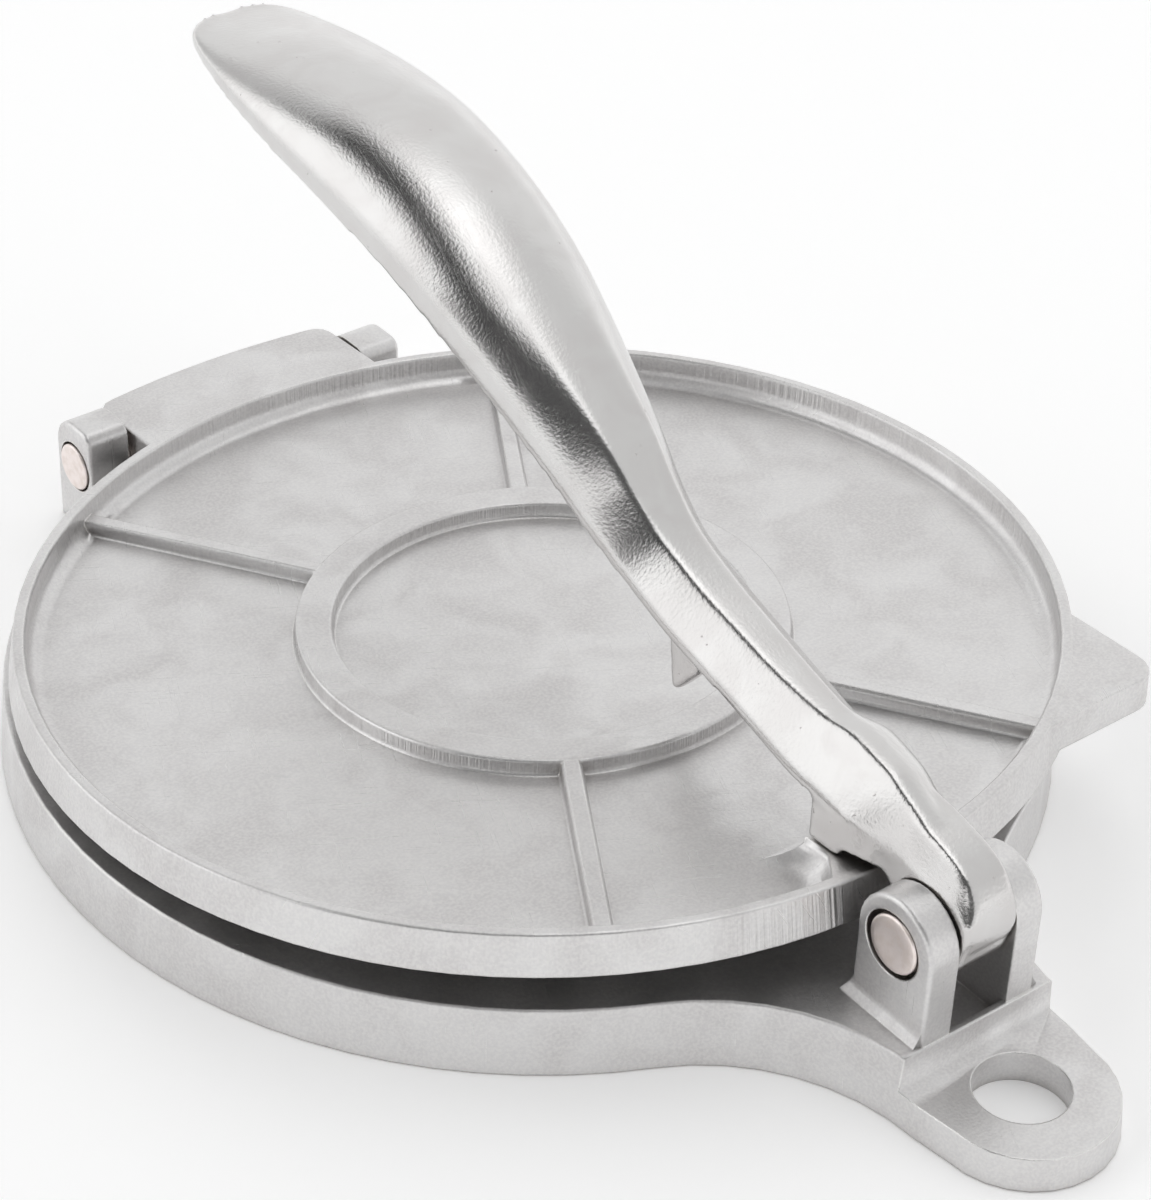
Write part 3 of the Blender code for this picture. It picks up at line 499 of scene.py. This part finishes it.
@dataclass(frozen=True)
class PinSteel:
    """Bare drawn steel rod: slightly warm beside the aluminium, with faint turning rings on its ends."""

    tone: str = "#F6ECE8"
    shade: str = "#EADFD9"
    roughness: float = 0.36
    centre: tuple[float, float, float] = LEVER_PIVOT
    ring_mm: float = 0.35
    cloud_mm: float = 2.2
    cloud_band: tuple[float, float] = (0.36, 0.70)
    edge_radius: float = 0.0003
    smoothest: float = -0.03
    roughest: float = 0.10
    # Turn in degrees, width and length in millimetres, and noise level of the scratches
    scratches: tuple = (88.0, 0.12, 6.0, 0.63)

    def material(self, name: str) -> bpy.types.Material:
        """The finished material."""
        material, tree, shader = new_material(name)
        place = add(tree, "TexCoord").outputs["Object"]
        turned = add(tree, "Mapping", {"Vector": place, "Location": tuple(-value for value in self.centre)})
        scale = per_size(self.ring_mm) / math.tau
        inputs = {"Vector": turned.outputs["Vector"], "Scale": scale, "Distortion": 0.4}
        rings = add(tree, "TexWave", inputs, wave_type="RINGS", rings_direction="X")
        mottle = mask(tree, noise(tree, place, self.cloud_mm, 4.0), *self.cloud_band)
        rough = spread(tree, mottle, self.roughness + self.smoothest, self.roughness + self.roughest)
        bevel = add(tree, "Bevel", {"Radius": self.edge_radius}, samples=4)
        layers = (
            (rings.outputs["Fac"], 0.00001, 0.35),
            (scratch_mask(tree, place, *self.scratches), 0.00001, 0.4),
        )
        tone = mixed(tree, mottle, linear(self.tone), linear(self.shade))
        tree.links.new(tone, shader.inputs["Base Color"])
        tree.links.new(rough, shader.inputs["Roughness"])
        tree.links.new(bumps(tree, bevel.outputs["Normal"], layers), shader.inputs["Normal"])
        return material


def mesh_object(name: str, points: np.ndarray, faces: list[tuple[int, ...]]) -> bpy.types.Object:
    """An object with its place in its mesh.

    Args:
        name: the piece's name.
        points: one row of X, Y and Z for each vertex.
        faces: vertex numbers of each face.

    Returns:
        The object, linked to the scene.
    """
    mesh = bpy.data.meshes.new(name)
    mesh.from_pydata(points.tolist(), [], faces)
    mesh.validate()
    item = bpy.data.objects.new(name, mesh)
    bpy.context.scene.collection.objects.link(item)
    return item


def tidy_mesh(item: bpy.types.Object) -> None:
    """Merge an object's doubled vertices and turn its faces outwards."""
    shape = bmesh.new()
    shape.from_mesh(item.data)
    bmesh.ops.remove_doubles(shape, verts=shape.verts, dist=WELD_DISTANCE)
    bmesh.ops.recalc_face_normals(shape, faces=shape.faces)
    shape.to_mesh(item.data)
    shape.free()


def loft(name: str, rings: np.ndarray) -> bpy.types.Object:
    """Join closed rings into a solid: every ring's points are linked to the next ring's, with flat ends.

    Args:
        name: the solid's name.
        rings: array of rings by points by X, Y and Z.

    Returns:
        The closed solid.
    """
    levels, count, _ = rings.shape
    here = np.arange(levels - 1)[:, None] * count + np.arange(count)[None, :]
    across = np.arange(levels - 1)[:, None] * count + (np.arange(count)[None, :] + 1) % count
    quads = np.stack([here, across, across + count, here + count], axis=-1).reshape(-1, 4)
    faces = [tuple(quad) for quad in quads.tolist()]
    faces.append(tuple(range(count)))
    faces.append(tuple(range((levels - 1) * count, levels * count)))
    item = mesh_object(name, rings.reshape(-1, 3), faces)
    tidy_mesh(item)
    return item


def lathe_x(
    name: str,
    profile: np.ndarray,
    centre: tuple[float, float, float],
    steps: int,
) -> bpy.types.Object:
    """Turn a profile of place along X and radius about an axis through the centre.

    Args:
        name: the solid's name.
        profile: rows of X and radius, where the first and last radius are zero.
        centre: a point of the axis.
        steps: number of faces around.

    Returns:
        The closed solid.
    """
    angles = math.tau * np.arange(steps) / steps
    along = np.broadcast_to(profile[:, None, 0], (len(profile), steps))
    rings = np.stack([along, profile[:, 1:] * np.cos(angles), profile[:, 1:] * np.sin(angles)], axis=-1)
    return loft(name, rings + np.array(centre))


def boolean(target: bpy.types.Object, tool: bpy.types.Object, operation: str) -> None:
    """Apply an exact boolean and remove the tool.

    Args:
        target: the object that stays.
        tool: the object that is joined or cut out.
        operation: UNION or DIFFERENCE.
    """
    modifier = target.modifiers.new(operation, "BOOLEAN")
    modifier.operation = operation
    modifier.solver = "EXACT"
    modifier.object = tool
    bake(target)
    bpy.data.objects.remove(tool, do_unlink=True)


def bake(item: bpy.types.Object) -> None:
    """Make an object's modifiers part of its mesh."""
    bpy.context.view_layer.update()
    graph = bpy.context.evaluated_depsgraph_get()
    mesh = bpy.data.meshes.new_from_object(item.evaluated_get(graph))
    old = item.data
    item.modifiers.clear()
    item.data = mesh
    bpy.data.meshes.remove(old)


def smooth_by_angle(item: bpy.types.Object, limit_deg: float = SMOOTH_LIMIT_DEG) -> None:
    """Shade an object smoothly, with a crease where faces meet at more than the limit."""
    item.data.shade_smooth()
    item.data.set_sharp_from_angle(angle=math.radians(limit_deg))


def dress(item: bpy.types.Object, material: bpy.types.Material, body: Body, node: str) -> None:
    """Give a piece its material and its body, and hide the CAD node that it stands for.

    Args:
        item: the finished piece.
        material: its finish.
        body: the body that it moves with.
        node: the CAD node, which is hidden.
    """
    item.data.materials.clear()
    item.data.materials.append(material)
    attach(item, body.value)
    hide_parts(node)
    LOG.info("%s: %d faces", item.name, len(item.data.polygons))


def casting_from(node: str, name: str) -> bpy.types.Object:
    """A merged copy of a CAD node, shaded so that large flat faces stay flat.

    Args:
        node: name of the CAD node.
        name: name of the copy.

    Returns:
        The copy, ready to be dressed.
    """
    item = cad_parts[node].copy()
    item.data = item.data.copy()
    item.name = name
    bpy.context.scene.collection.objects.link(item)
    shape = bmesh.new()
    shape.from_mesh(item.data)
    bmesh.ops.remove_doubles(shape, verts=shape.verts, dist=WELD_DISTANCE)
    flat = math.radians(FLAT_LIMIT_DEG)
    bmesh.ops.dissolve_limit(
        shape, angle_limit=flat, verts=shape.verts, edges=shape.edges, use_dissolve_boundaries=False
    )
    shape.to_mesh(item.data)
    shape.free()
    smooth_by_angle(item)
    weights = item.modifiers.new("flat faces", "WEIGHTED_NORMAL")
    weights.keep_sharp = True
    weights.weight = FLAT_FACE_WEIGHT
    bake(item)
    return item


@dataclass
class LowerPlate:
    """The round base with its tongue, clevis and rear ears."""

    node: str = "base_casting"
    roughness: float = 0.40

    def build(self) -> None:
        """Make and dress the lower casting."""
        item = casting_from(self.node, "base_plate")
        finish = CastAluminium(roughness=self.roughness)
        dress(item, finish.material("blasted_cast_aluminium_base"), Body.BASE, self.node)


@dataclass
class UpperPlate:
    """The hinged pressing plate with its ring, spokes, tab, web and pad."""

    node: str = "top_plate_casting"
    roughness: float = 0.37

    def build(self) -> None:
        """Make and dress the upper casting."""
        item = casting_from(self.node, "pressing_plate")
        finish = CastAluminium(roughness=self.roughness, walls=Walls.TURNED, centre=PLATE_CENTRE)
        dress(item, finish.material("blasted_cast_aluminium_plate"), Body.TOP_PLATE, self.node)


@dataclass
class Pin:
    """A straight round pin with rounded ends."""

    node: str
    name: str
    body: Body
    centre: tuple[float, float, float]
    radius: float
    half_length: float
    edge: float = 0.0005
    dish: float = 0.00015
    inner_share: float = 0.35
    rim_share: float = 0.8
    slope_share: float = 0.85
    round_steps: int = 6
    steps: int = 96

    def profile(self) -> np.ndarray:
        """Half section: a slightly dished end, a quarter round at its edge and a straight side.

        Returns:
            Rows of X and radius from the left end's middle to the right end's middle.
        """
        angles = np.linspace(0, math.pi / 2, self.round_steps + 1)
        inner = self.radius - self.edge
        face_radii = [0.0, self.inner_share * inner, self.rim_share * inner]
        face_depth = [self.dish, self.dish * self.slope_share, 0.0]
        radii = np.concatenate([face_radii, inner + self.edge * np.sin(angles)])
        depth = np.concatenate([face_depth, self.edge * (1 - np.cos(angles))])
        left = np.stack([depth - self.half_length, radii], axis=1)
        return np.concatenate([left, left[::-1] * np.array([-1.0, 1.0])])

    def build(self) -> None:
        """Make and dress the pin."""
        item = lathe_x(self.name, self.profile(), self.centre, self.steps)
        smooth_by_angle(item)
        finish = PinSteel(centre=self.centre)
        dress(item, finish.material("drawn_steel_" + self.name), self.body, self.node)


@dataclass
class Lever:
    """The polished lever: domed hollow grip, ridged neck, nub, foot and barrel."""

    node: str = "lever_casting"
    reach: float = 0.2206
    rise: float = 0.0767
    grip_half_width: float = 0.0196
    grip_depth: float = 0.0150
    wall: float = 0.0034
    lip: float = 0.0022
    barrel_radius: float = 0.0089
    barrel_half_width: float = 0.0061
    bore_radius: float = 0.0059
    ridge_half_width: float = 0.0032
    crest_edge: float = 0.0011
    foot_half_width: float = 0.0084
    foot_far: float = 0.0279
    foot_near: float = 0.0202
    foot_far_low: float = 0.0024
    foot_near_low: float = 0.0028
    foot_step: float = 0.0006
    foot_step_share: float = 0.50
    foot_top_share: float = 1.40
    foot_root_shares: tuple[float, float, float] = (1.20, 0.55, 1.25)
    nub_half_width: float = 0.0019
    nub_reach: float = 0.0734
    nub_height: float = 0.0036
    cheek_edge: float = 0.0008
    cell: float = 0.00055
    overrun: float = 0.004
    # Where along the reach the neck becomes the dome, where the right shoulder swells, and how
    # near to an ellipse the section is there
    dome_span: tuple[float, float] = (0.36, 0.60)
    shoulder_span: tuple[float, float] = (0.165, 0.120)
    neck_fullness: float = 0.12
    dome_fullness: float = 1.0
    shoulder_fullness: float = 1.40
    side_share: float = 1.35
    shoulder_drop_share: float = 0.10
    cheek_drop_share: float = 0.08
    # Where along the reach the outside and the hollow start and end
    outside_span: tuple[float, float] = (0.025, 1.0)
    hollow_span: tuple[float, float] = (0.20, 0.89)
    outside_steps: tuple[int, int] = (360, 26)
    hollow_steps: tuple[int, int] = (240, 20)
    table_steps: int = 4001
    lip_steps: int = 4
    profile_steps: int = 40
    bore_steps: int = 96
    even_share: float = 0.5
    even_times: int = 12
    crease_deg: float = 50.0
    # Reach, rise, half width, depth and ridge from the tip to the foot, as shares
    stations: tuple = (
        (1.000, 0.993, 0.15, 0.10, 0.90),
        (0.994, 0.991, 0.38, 0.13, 0.80),
        (0.978, 0.987, 0.55, 0.18, 0.74),
        (0.945, 0.982, 0.69, 0.27, 0.68),
        (0.882, 0.967, 0.85, 0.47, 0.60),
        (0.810, 0.943, 0.95, 0.66, 0.55),
        (0.740, 0.908, 0.98, 0.80, 0.52),
        (0.665, 0.849, 0.94, 0.86, 0.50),
        (0.600, 0.773, 0.88, 0.87, 0.48),
        (0.530, 0.664, 0.78, 0.84, 0.46),
        (0.450, 0.522, 0.645, 0.78, 0.44),
        (0.405, 0.427, 0.560, 0.70, 0.42),
        (0.360, 0.352, 0.500, 0.63, 0.40),
        (0.305, 0.292, 0.495, 0.59, 0.37),
        (0.255, 0.252, 0.480, 0.58, 0.35),
        (0.207, 0.212, 0.470, 0.60, 0.32),
        (0.157, 0.170, 0.465, 0.68, 0.24),
        (0.128, 0.152, 0.445, 0.74, 0.16),
        (0.103, 0.137, 0.430, 0.76, 0.20),
        (0.079, 0.123, 0.400, 0.76, 0.24),
        (0.051, 0.110, 0.330, 0.67, 0.38),
        (0.025, 0.098, 0.300, 0.58, 0.45),
    )
    crest: tuple = ((1.95, 2.00), (1.27, 1.93), (0.62, 1.84), (-0.10, 1.66), (-0.62, 1.42), (-0.95, 1.02))
    cheek: tuple = ((1.95, 1.50), (1.27, 1.40), (0.62, 1.25), (-0.10, 1.12), (-0.55, 1.00), (-0.90, 0.82))
    nose: tuple = ((-1.10, 0.68), (-1.13, 0.30), (-1.05, 0.02))
    arch: tuple = ((1.95, 0.56), (1.80, 0.62), (1.45, 0.60), (1.12, 0.36))
    nub: tuple = ((1.045, 8.2), (1.0, 1.0), (0.978, 1.0), (0.900, 2.9), (0.850, 7.4))

    def spline(self, rows: np.ndarray, places: np.ndarray) -> np.ndarray:
        """Smooth values of a table: the cubic through each four neighbouring rows.

        Args:
            rows: the table.
            places: places from 0 to the number of the last row.

        Returns:
            One row of values for each place.
        """
        last = len(rows) - 1
        index = np.minimum(places.astype(int), last - 1)
        share = (places - index)[:, None]
        before, here = rows[np.maximum(index - 1, 0)], rows[index]
        there, after = rows[index + 1], rows[np.minimum(index + 2, last)]
        bend = 2 * before - 5 * here + 4 * there - after
        twist = 3 * (here - there) + after - before
        return here + share * (there - before + share * (bend + share * twist)) / 2

    @staticmethod
    def ease(value: np.ndarray, start: float, end: float) -> np.ndarray:
        """Smooth rise from 0 to 1 between two places."""
        share = np.clip((value - start) / (end - start), 0, 1)
        return share * share * (3 - 2 * share)

    def half_section(self, sizes: dict[str, np.ndarray], full: np.ndarray, steps: int) -> np.ndarray:
        """Half of the section at every station, from the lip's foot to the crest.

        The wall is a mix of a quarter of an ellipse and of a straight leaning side up to the
        ridge, which then falls to the middle, by how full the section is.

        Args:
            sizes: half width, depth and ridge at every station.
            full: share of the ellipse at every station.
            steps: points from the lip to the crest.

        Returns:
            Array of stations by points by across and up.
        """
        share = np.arange(1, steps + 1) / steps
        half, depth, ridge = (sizes[key][:, None] for key in ("half", "depth", "ridge"))
        climb = depth - self.lip
        round_x = half * np.cos(math.pi / 2 * share)
        round_z = self.lip + climb * np.sin(math.pi / 2 * share)
        side = np.minimum(share * self.side_share, 1)
        top = share * self.side_share > 1
        lean_x = np.where(top, ridge * (1 - share) / (1 - 1 / self.side_share), half + (ridge - half) * side)
        lean_z = self.lip + climb * side
        across = lean_x + (round_x - lean_x) * full[:, None]
        up = lean_z + (round_z - lean_z) * full[:, None]
        lip = np.linspace(0, self.lip, self.lip_steps)[None, :] * np.ones_like(half)
        across = np.concatenate([np.broadcast_to(half, lip.shape), across], axis=1)
        return np.stack([across, np.concatenate([lip, up], axis=1)], axis=-1)

    def rings(self, span: tuple[float, float], counts: tuple[int, int], inset: float) -> np.ndarray:
        """Rings of the lever's section, set square to the line on which its lips lie.

        Towards the tip the rings draw together as a cosine does, so that the tip is round.

        Args:
            span: shares of the reach at which the rings start and end.
            counts: number of rings, and points of half a section.
            inset: how far the section is drawn in for the hollow.

        Returns:
            Array of rings by points by X, Y and Z from the pivot.
        """
        (low, high), (count, steps) = span, counts
        table = np.array(self.stations)
        fine = self.spline(table, (len(table) - 1) * np.linspace(0, 1, self.table_steps))
        order = np.argsort(fine[:, 0])
        if inset:
            reach = np.linspace(high, low, count)
        else:
            reach = high - (high - low) * (1 - np.cos(np.linspace(0, math.pi / 2, count)))
        values = np.stack([np.interp(reach, fine[order, 0], fine[order, k]) for k in range(5)], axis=1)
        line = values[:, :2] * np.array([self.reach, self.rise])
        along = -np.gradient(line, axis=0)
        along /= np.linalg.norm(along, axis=1)[:, None]
        up = np.stack([-along[:, 1], along[:, 0]], axis=1)
        up *= np.sign(up[:, 1])[:, None]
        half = self.grip_half_width * values[:, 2]
        depth = self.grip_depth * values[:, 3]
        sizes = {"half": half - inset, "depth": depth - inset, "ridge": half * values[:, 4]}
        dome = self.ease(values[:, 0], *self.dome_span)
        full = self.neck_fullness + (self.dome_fullness - self.neck_fullness) * dome
        swell = self.ease(-values[:, 0], -self.shoulder_span[0], -self.shoulder_span[1])
        right = self.half_section(sizes, full + (self.shoulder_fullness - full) * swell, steps)
        left = self.half_section(sizes, full, steps)
        if inset:
            right[:, 0, 1] = -self.overrun
            left[:, 0, 1] = -self.overrun
        across = np.concatenate([right[..., 0], -left[:, -2::-1, 0]], axis=1)
        height = np.concatenate([right[..., 1], left[:, -2::-1, 1]], axis=1)
        place = line[:, None, :] + up[:, None, :] * height[..., None]
        return np.concatenate([across[..., None], place], axis=-1)

    def head_profile(self, top: np.ndarray, steps: int) -> np.ndarray:
        """Side view of the head: arch, round barrel, nose and the top line, all in barrel radii."""
        angles = np.radians(np.linspace(-5, -175, steps))
        barrel = np.stack([np.cos(angles), np.sin(angles)], axis=1)
        nose = np.array(self.nose)[::-1]
        over = self.spline(top[::-1], np.linspace(0, len(top) - 1, steps))
        return self.barrel_radius * np.concatenate([np.array(self.arch), barrel, nose, over])

    def head(self) -> bpy.types.Object:
        """Barrel, cheeks and ridge: the side view changes from cheek to crest across the width."""
        crest, cheek = np.array(self.crest), np.array(self.cheek)
        shoulder = crest - np.array([0.0, self.shoulder_drop_share])
        low_cheek = cheek - np.array([0.0, self.cheek_drop_share])
        width, edge = self.barrel_half_width, self.cheek_edge
        places = (-width, -width + edge, -self.ridge_half_width, width - self.crest_edge, width)
        tops = (low_cheek, cheek, crest, crest, shoulder)
        draws = (1.0 - edge / self.barrel_radius, 1.0, 1.0, 1.0, 1.0 - edge / self.barrel_radius)
        rings = []
        for place, top, draw in zip(places, tops, draws):
            profile = self.head_profile(top, self.profile_steps) * draw
            rings.append(np.concatenate([np.full((len(profile), 1), place), profile], axis=1))
        return loft("head", np.array(rings))

    def foot(self) -> bpy.types.Object:
        """The foot on the pad: four-cornered sections from its far face back to the barrel."""
        radius, half = self.barrel_radius, self.foot_half_width
        top = radius * self.foot_top_share
        root, root_low, root_top = (radius * share for share in self.foot_root_shares)
        rows = np.array([
            (self.foot_far, half, self.foot_far_low, top),
            (self.foot_near, half, self.foot_near_low, top),
            (self.foot_near - self.foot_step, half, radius * self.foot_step_share, top),
            (root, self.barrel_half_width, root_low, root_top),
        ])
        along, half, low, high = rows.T
        across = np.stack([-half, half, half, -half], axis=1)
        height = np.stack([low, low, high, high], axis=1)
        back = np.broadcast_to(along[:, None], across.shape)
        return loft("foot", np.stack([across, back, height], axis=-1))

    def nub_solid(self) -> bpy.types.Object:
        """The flat wedge under the neck that presses the plate's middle."""
        profile = np.array(self.nub) * np.array([self.nub_reach, self.nub_height])
        sides = np.array([-self.nub_half_width, self.nub_half_width])
        rings = [np.concatenate([np.full((len(profile), 1), side), profile], axis=1) for side in sides]
        return loft("nub", np.array(rings))

    def build(self) -> None:
        """Make and dress the lever: lofted solids, melted together on a fine grid and smoothed."""
        lever = loft("press_lever", self.rings(self.outside_span, self.outside_steps, 0.0))
        hollow = loft("hollow", self.rings(self.hollow_span, self.hollow_steps, self.wall))
        boolean(lever, hollow, "DIFFERENCE")
        for extra in (self.head(), self.foot(), self.nub_solid()):
            shape = bmesh.new()
            shape.from_mesh(lever.data)
            shape.from_mesh(extra.data)
            shape.to_mesh(lever.data)
            shape.free()
            bpy.data.objects.remove(extra, do_unlink=True)
        grid = lever.modifiers.new("melt", "REMESH")
        grid.mode = "VOXEL"
        grid.voxel_size = self.cell
        even = lever.modifiers.new("even", "SMOOTH")
        even.factor = self.even_share
        even.iterations = self.even_times
        bake(lever)
        reach = self.barrel_half_width + self.overrun
        rows = np.array([(-reach, 0.0), (-reach, self.bore_radius), (reach, self.bore_radius), (reach, 0.0)])
        boolean(lever, lathe_x("bore", rows, (0.0, 0.0, 0.0), self.bore_steps), "DIFFERENCE")
        lever.data.transform(Matrix.Translation(LEVER_PIVOT))
        smooth_by_angle(lever, self.crease_deg)
        dress(lever, PolishedAluminium().material("polished_cast_aluminium_lever"), Body.LEVER, self.node)


@dataclass(frozen=True)
class StudioFloor:
    """A plain matt white sweep, which the eye and every mirror in the metal see as white."""

    tone: str = "#FEFEFE"
    roughness: float = 0.9
    gloss: float = 0.1
    lift: float = 0.20

    def material(self, name: str) -> bpy.types.Material:
        """The finished material."""
        material, tree, shader = new_material(name)
        shader.inputs["Metallic"].default_value = 0.0
        shader.inputs["Base Color"].default_value = linear(self.tone)
        shader.inputs["Roughness"].default_value = self.roughness
        shader.inputs["Specular IOR Level"].default_value = self.gloss
        path = add(tree, "LightPath").outputs
        seen = add(tree, "Math", {0: path["Is Camera Ray"], 1: path["Is Glossy Ray"]}, operation="MAXIMUM")
        seen = add(tree, "Math", {0: seen.outputs[0], 1: path["Is Transmission Ray"]}, operation="MAXIMUM")
        lift = add(tree, "Math", {0: seen.outputs[0], 1: self.lift}, operation="MULTIPLY")
        shader.inputs["Emission Color"].default_value = grey(1.0)
        tree.links.new(lift.outputs[0], shader.inputs["Emission Strength"])
        return material


@dataclass
class Studio:
    """Floor, world, lamp and camera of a white light tent."""

    camera_place: tuple[float, float, float] = (-0.325026, -0.393286, 0.406700)
    azimuth_deg: float = -39.0505
    elevation_deg: float = 35.7841
    roll_deg: float = 2.3561
    lens: float = 106.1719
    sensor_width: float = 36.0
    clip_start: float = 0.01
    floor_size: float = 12.0
    lamp_place: tuple[float, float, float] = (0.20, 0.10, 1.5)
    lamp_target: tuple[float, float, float] = (0.0, 0.0, 0.02)
    lamp_size: float = 0.5
    lamp_watts: float = 0.25
    # The dark gap lies across this direction, between two shares of it
    gap_across: tuple[float, float, float] = (0.674, -0.542, -0.501)
    gap_near: float = -0.58
    gap_far: float = -0.84
    gap_level: float = 0.02
    gap_soft_level: float = 0.60
    gap_along: tuple[float, float, float] = (-0.627, -0.779, 0.0)
    crisp_from: float = -0.62
    crisp_to: float = -0.38
    panel_level: float = 1.22
    side_level: float = 0.70
    side_from: float = -0.28
    side_to: float = -0.10
    rear_level: float = 0.83
    # The camera looks in through an opening, which is dark too
    opening_at: tuple[float, float, float] = (-0.511, -0.630, 0.585)
    opening_share: tuple[float, float] = (0.87, 0.94)
    opening_level: float = 0.10
    strength: float = 1.12
    blur: float = 0.05
    horizon: tuple[float, float] = (0.13, 0.30)

    def floor(self) -> None:
        """The floor under the press."""
        half = self.floor_size / 2
        corners = np.array([(-half, -half, 0.0), (half, -half, 0.0), (half, half, 0.0), (-half, half, 0.0)])
        floor = mesh_object("floor", corners, [(0, 1, 2, 3)])
        floor.data.materials.append(StudioFloor().material("matt_white_sweep"))

    def world(self) -> None:
        """White tent: bright panels to the left and overhead, with a dark gap between them.

        Polished metal mirrors the gap as a dark band. Towards the rear the tent's cloth is thinner
        and evens out both panels and gap, and along the horizon it is plain white.
        """
        world = bpy.data.worlds.new("tent")
        bpy.context.scene.world = world
        world.use_nodes = True
        tree = world.node_tree
        tree.nodes.clear()
        aim = add(tree, "TexCoord").outputs["Generated"]
        unit = add(tree, "VectorMath", {0: aim}, operation="NORMALIZE").outputs["Vector"]
        height = add(tree, "SeparateXYZ", {"Vector": unit}).outputs["Z"]
        inputs = {0: unit, 1: self.gap_across}
        across = add(tree, "VectorMath", inputs, operation="DOT_PRODUCT").outputs["Value"]
        inputs = {0: unit, 1: self.gap_along}
        along = add(tree, "VectorMath", inputs, operation="DOT_PRODUCT").outputs["Value"]
        crisp = mask(tree, along, self.crisp_from, self.crisp_to)
        side = mask(tree, across, self.side_from, self.side_to)
        panels = mixed(tree, side, grey(self.panel_level), grey(self.side_level))
        cloth = mixed(tree, crisp, grey(self.rear_level), panels)
        dark = mixed(tree, crisp, grey(self.gap_soft_level), grey(self.gap_level))
        beyond = mask(tree, across, self.gap_far - self.blur, self.gap_far + self.blur)
        before = mask(tree, across, self.gap_near + self.blur, self.gap_near - self.blur)
        gap = add(tree, "Math", {0: beyond, 1: before}, operation="MULTIPLY").outputs[0]
        split = mixed(tree, gap, cloth, dark)
        inputs = {0: unit, 1: self.opening_at}
        front = add(tree, "VectorMath", inputs, operation="DOT_PRODUCT").outputs["Value"]
        upper = mixed(tree, mask(tree, front, *self.opening_share), split, grey(self.opening_level))
        level = mixed(tree, mask(tree, height, *self.horizon), grey(1.0), upper)
        light = add(tree, "Background", {"Color": level, "Strength": self.strength})
        add(tree, "OutputWorld", {"Surface": light.outputs[0]})

    def lamp(self) -> None:
        """A weak square lamp under the tent's roof, aimed at the press."""
        data = bpy.data.lights.new("roof_lamp", "AREA")
        data.size = self.lamp_size
        data.energy = self.lamp_watts
        lamp = bpy.data.objects.new("roof_lamp", data)
        bpy.context.scene.collection.objects.link(lamp)
        lamp.location = self.lamp_place
        aim = Vector(self.lamp_target) - Vector(self.lamp_place)
        lamp.rotation_euler = aim.to_track_quat("-Z", "Y").to_euler()

    def camera(self) -> None:
        """The camera at the photograph's place and angle."""
        turn, rise, roll = (math.radians(v) for v in (self.azimuth_deg, self.elevation_deg, self.roll_deg))
        back = Vector((math.sin(turn) * math.cos(rise), -math.cos(turn) * math.cos(rise), math.sin(rise)))
        right = Vector((math.cos(turn), math.sin(turn), 0))
        up = back.cross(right)
        rolled_right = right * math.cos(roll) + up * math.sin(roll)
        rolled_up = up * math.cos(roll) - right * math.sin(roll)
        data = bpy.data.cameras.new("camera")
        data.sensor_fit = "HORIZONTAL"
        data.sensor_width = self.sensor_width
        data.lens = self.lens
        data.clip_start = self.clip_start
        camera = bpy.data.objects.new("camera", data)
        bpy.context.scene.collection.objects.link(camera)
        place = Matrix((rolled_right, rolled_up, back)).transposed().to_4x4()
        place.translation = Vector(self.camera_place)
        camera.matrix_world = place
        bpy.context.scene.camera = camera

    def build(self) -> None:
        """Set up the whole studio."""
        self.floor()
        self.world()
        self.lamp()
        self.camera()
        bpy.context.scene.view_settings.view_transform = "Standard"


def main() -> None:
    """Build every piece in order, then the studio."""
    logging.basicConfig(level=logging.INFO, format="%(name)s: %(message)s")
    LowerPlate().build()
    UpperPlate().build()
    Lever().build()
    Pin("lever_pin", "front_pin", Body.LEVER_PIN, LEVER_PIVOT, radius=0.0056, half_length=0.0134).build()
    Pin("hinge_pin", "rear_pin", Body.BASE, HINGE_PIVOT, radius=0.0050, half_length=0.0394).build()
    Studio().build()


if __name__ == "__main__":
    main()
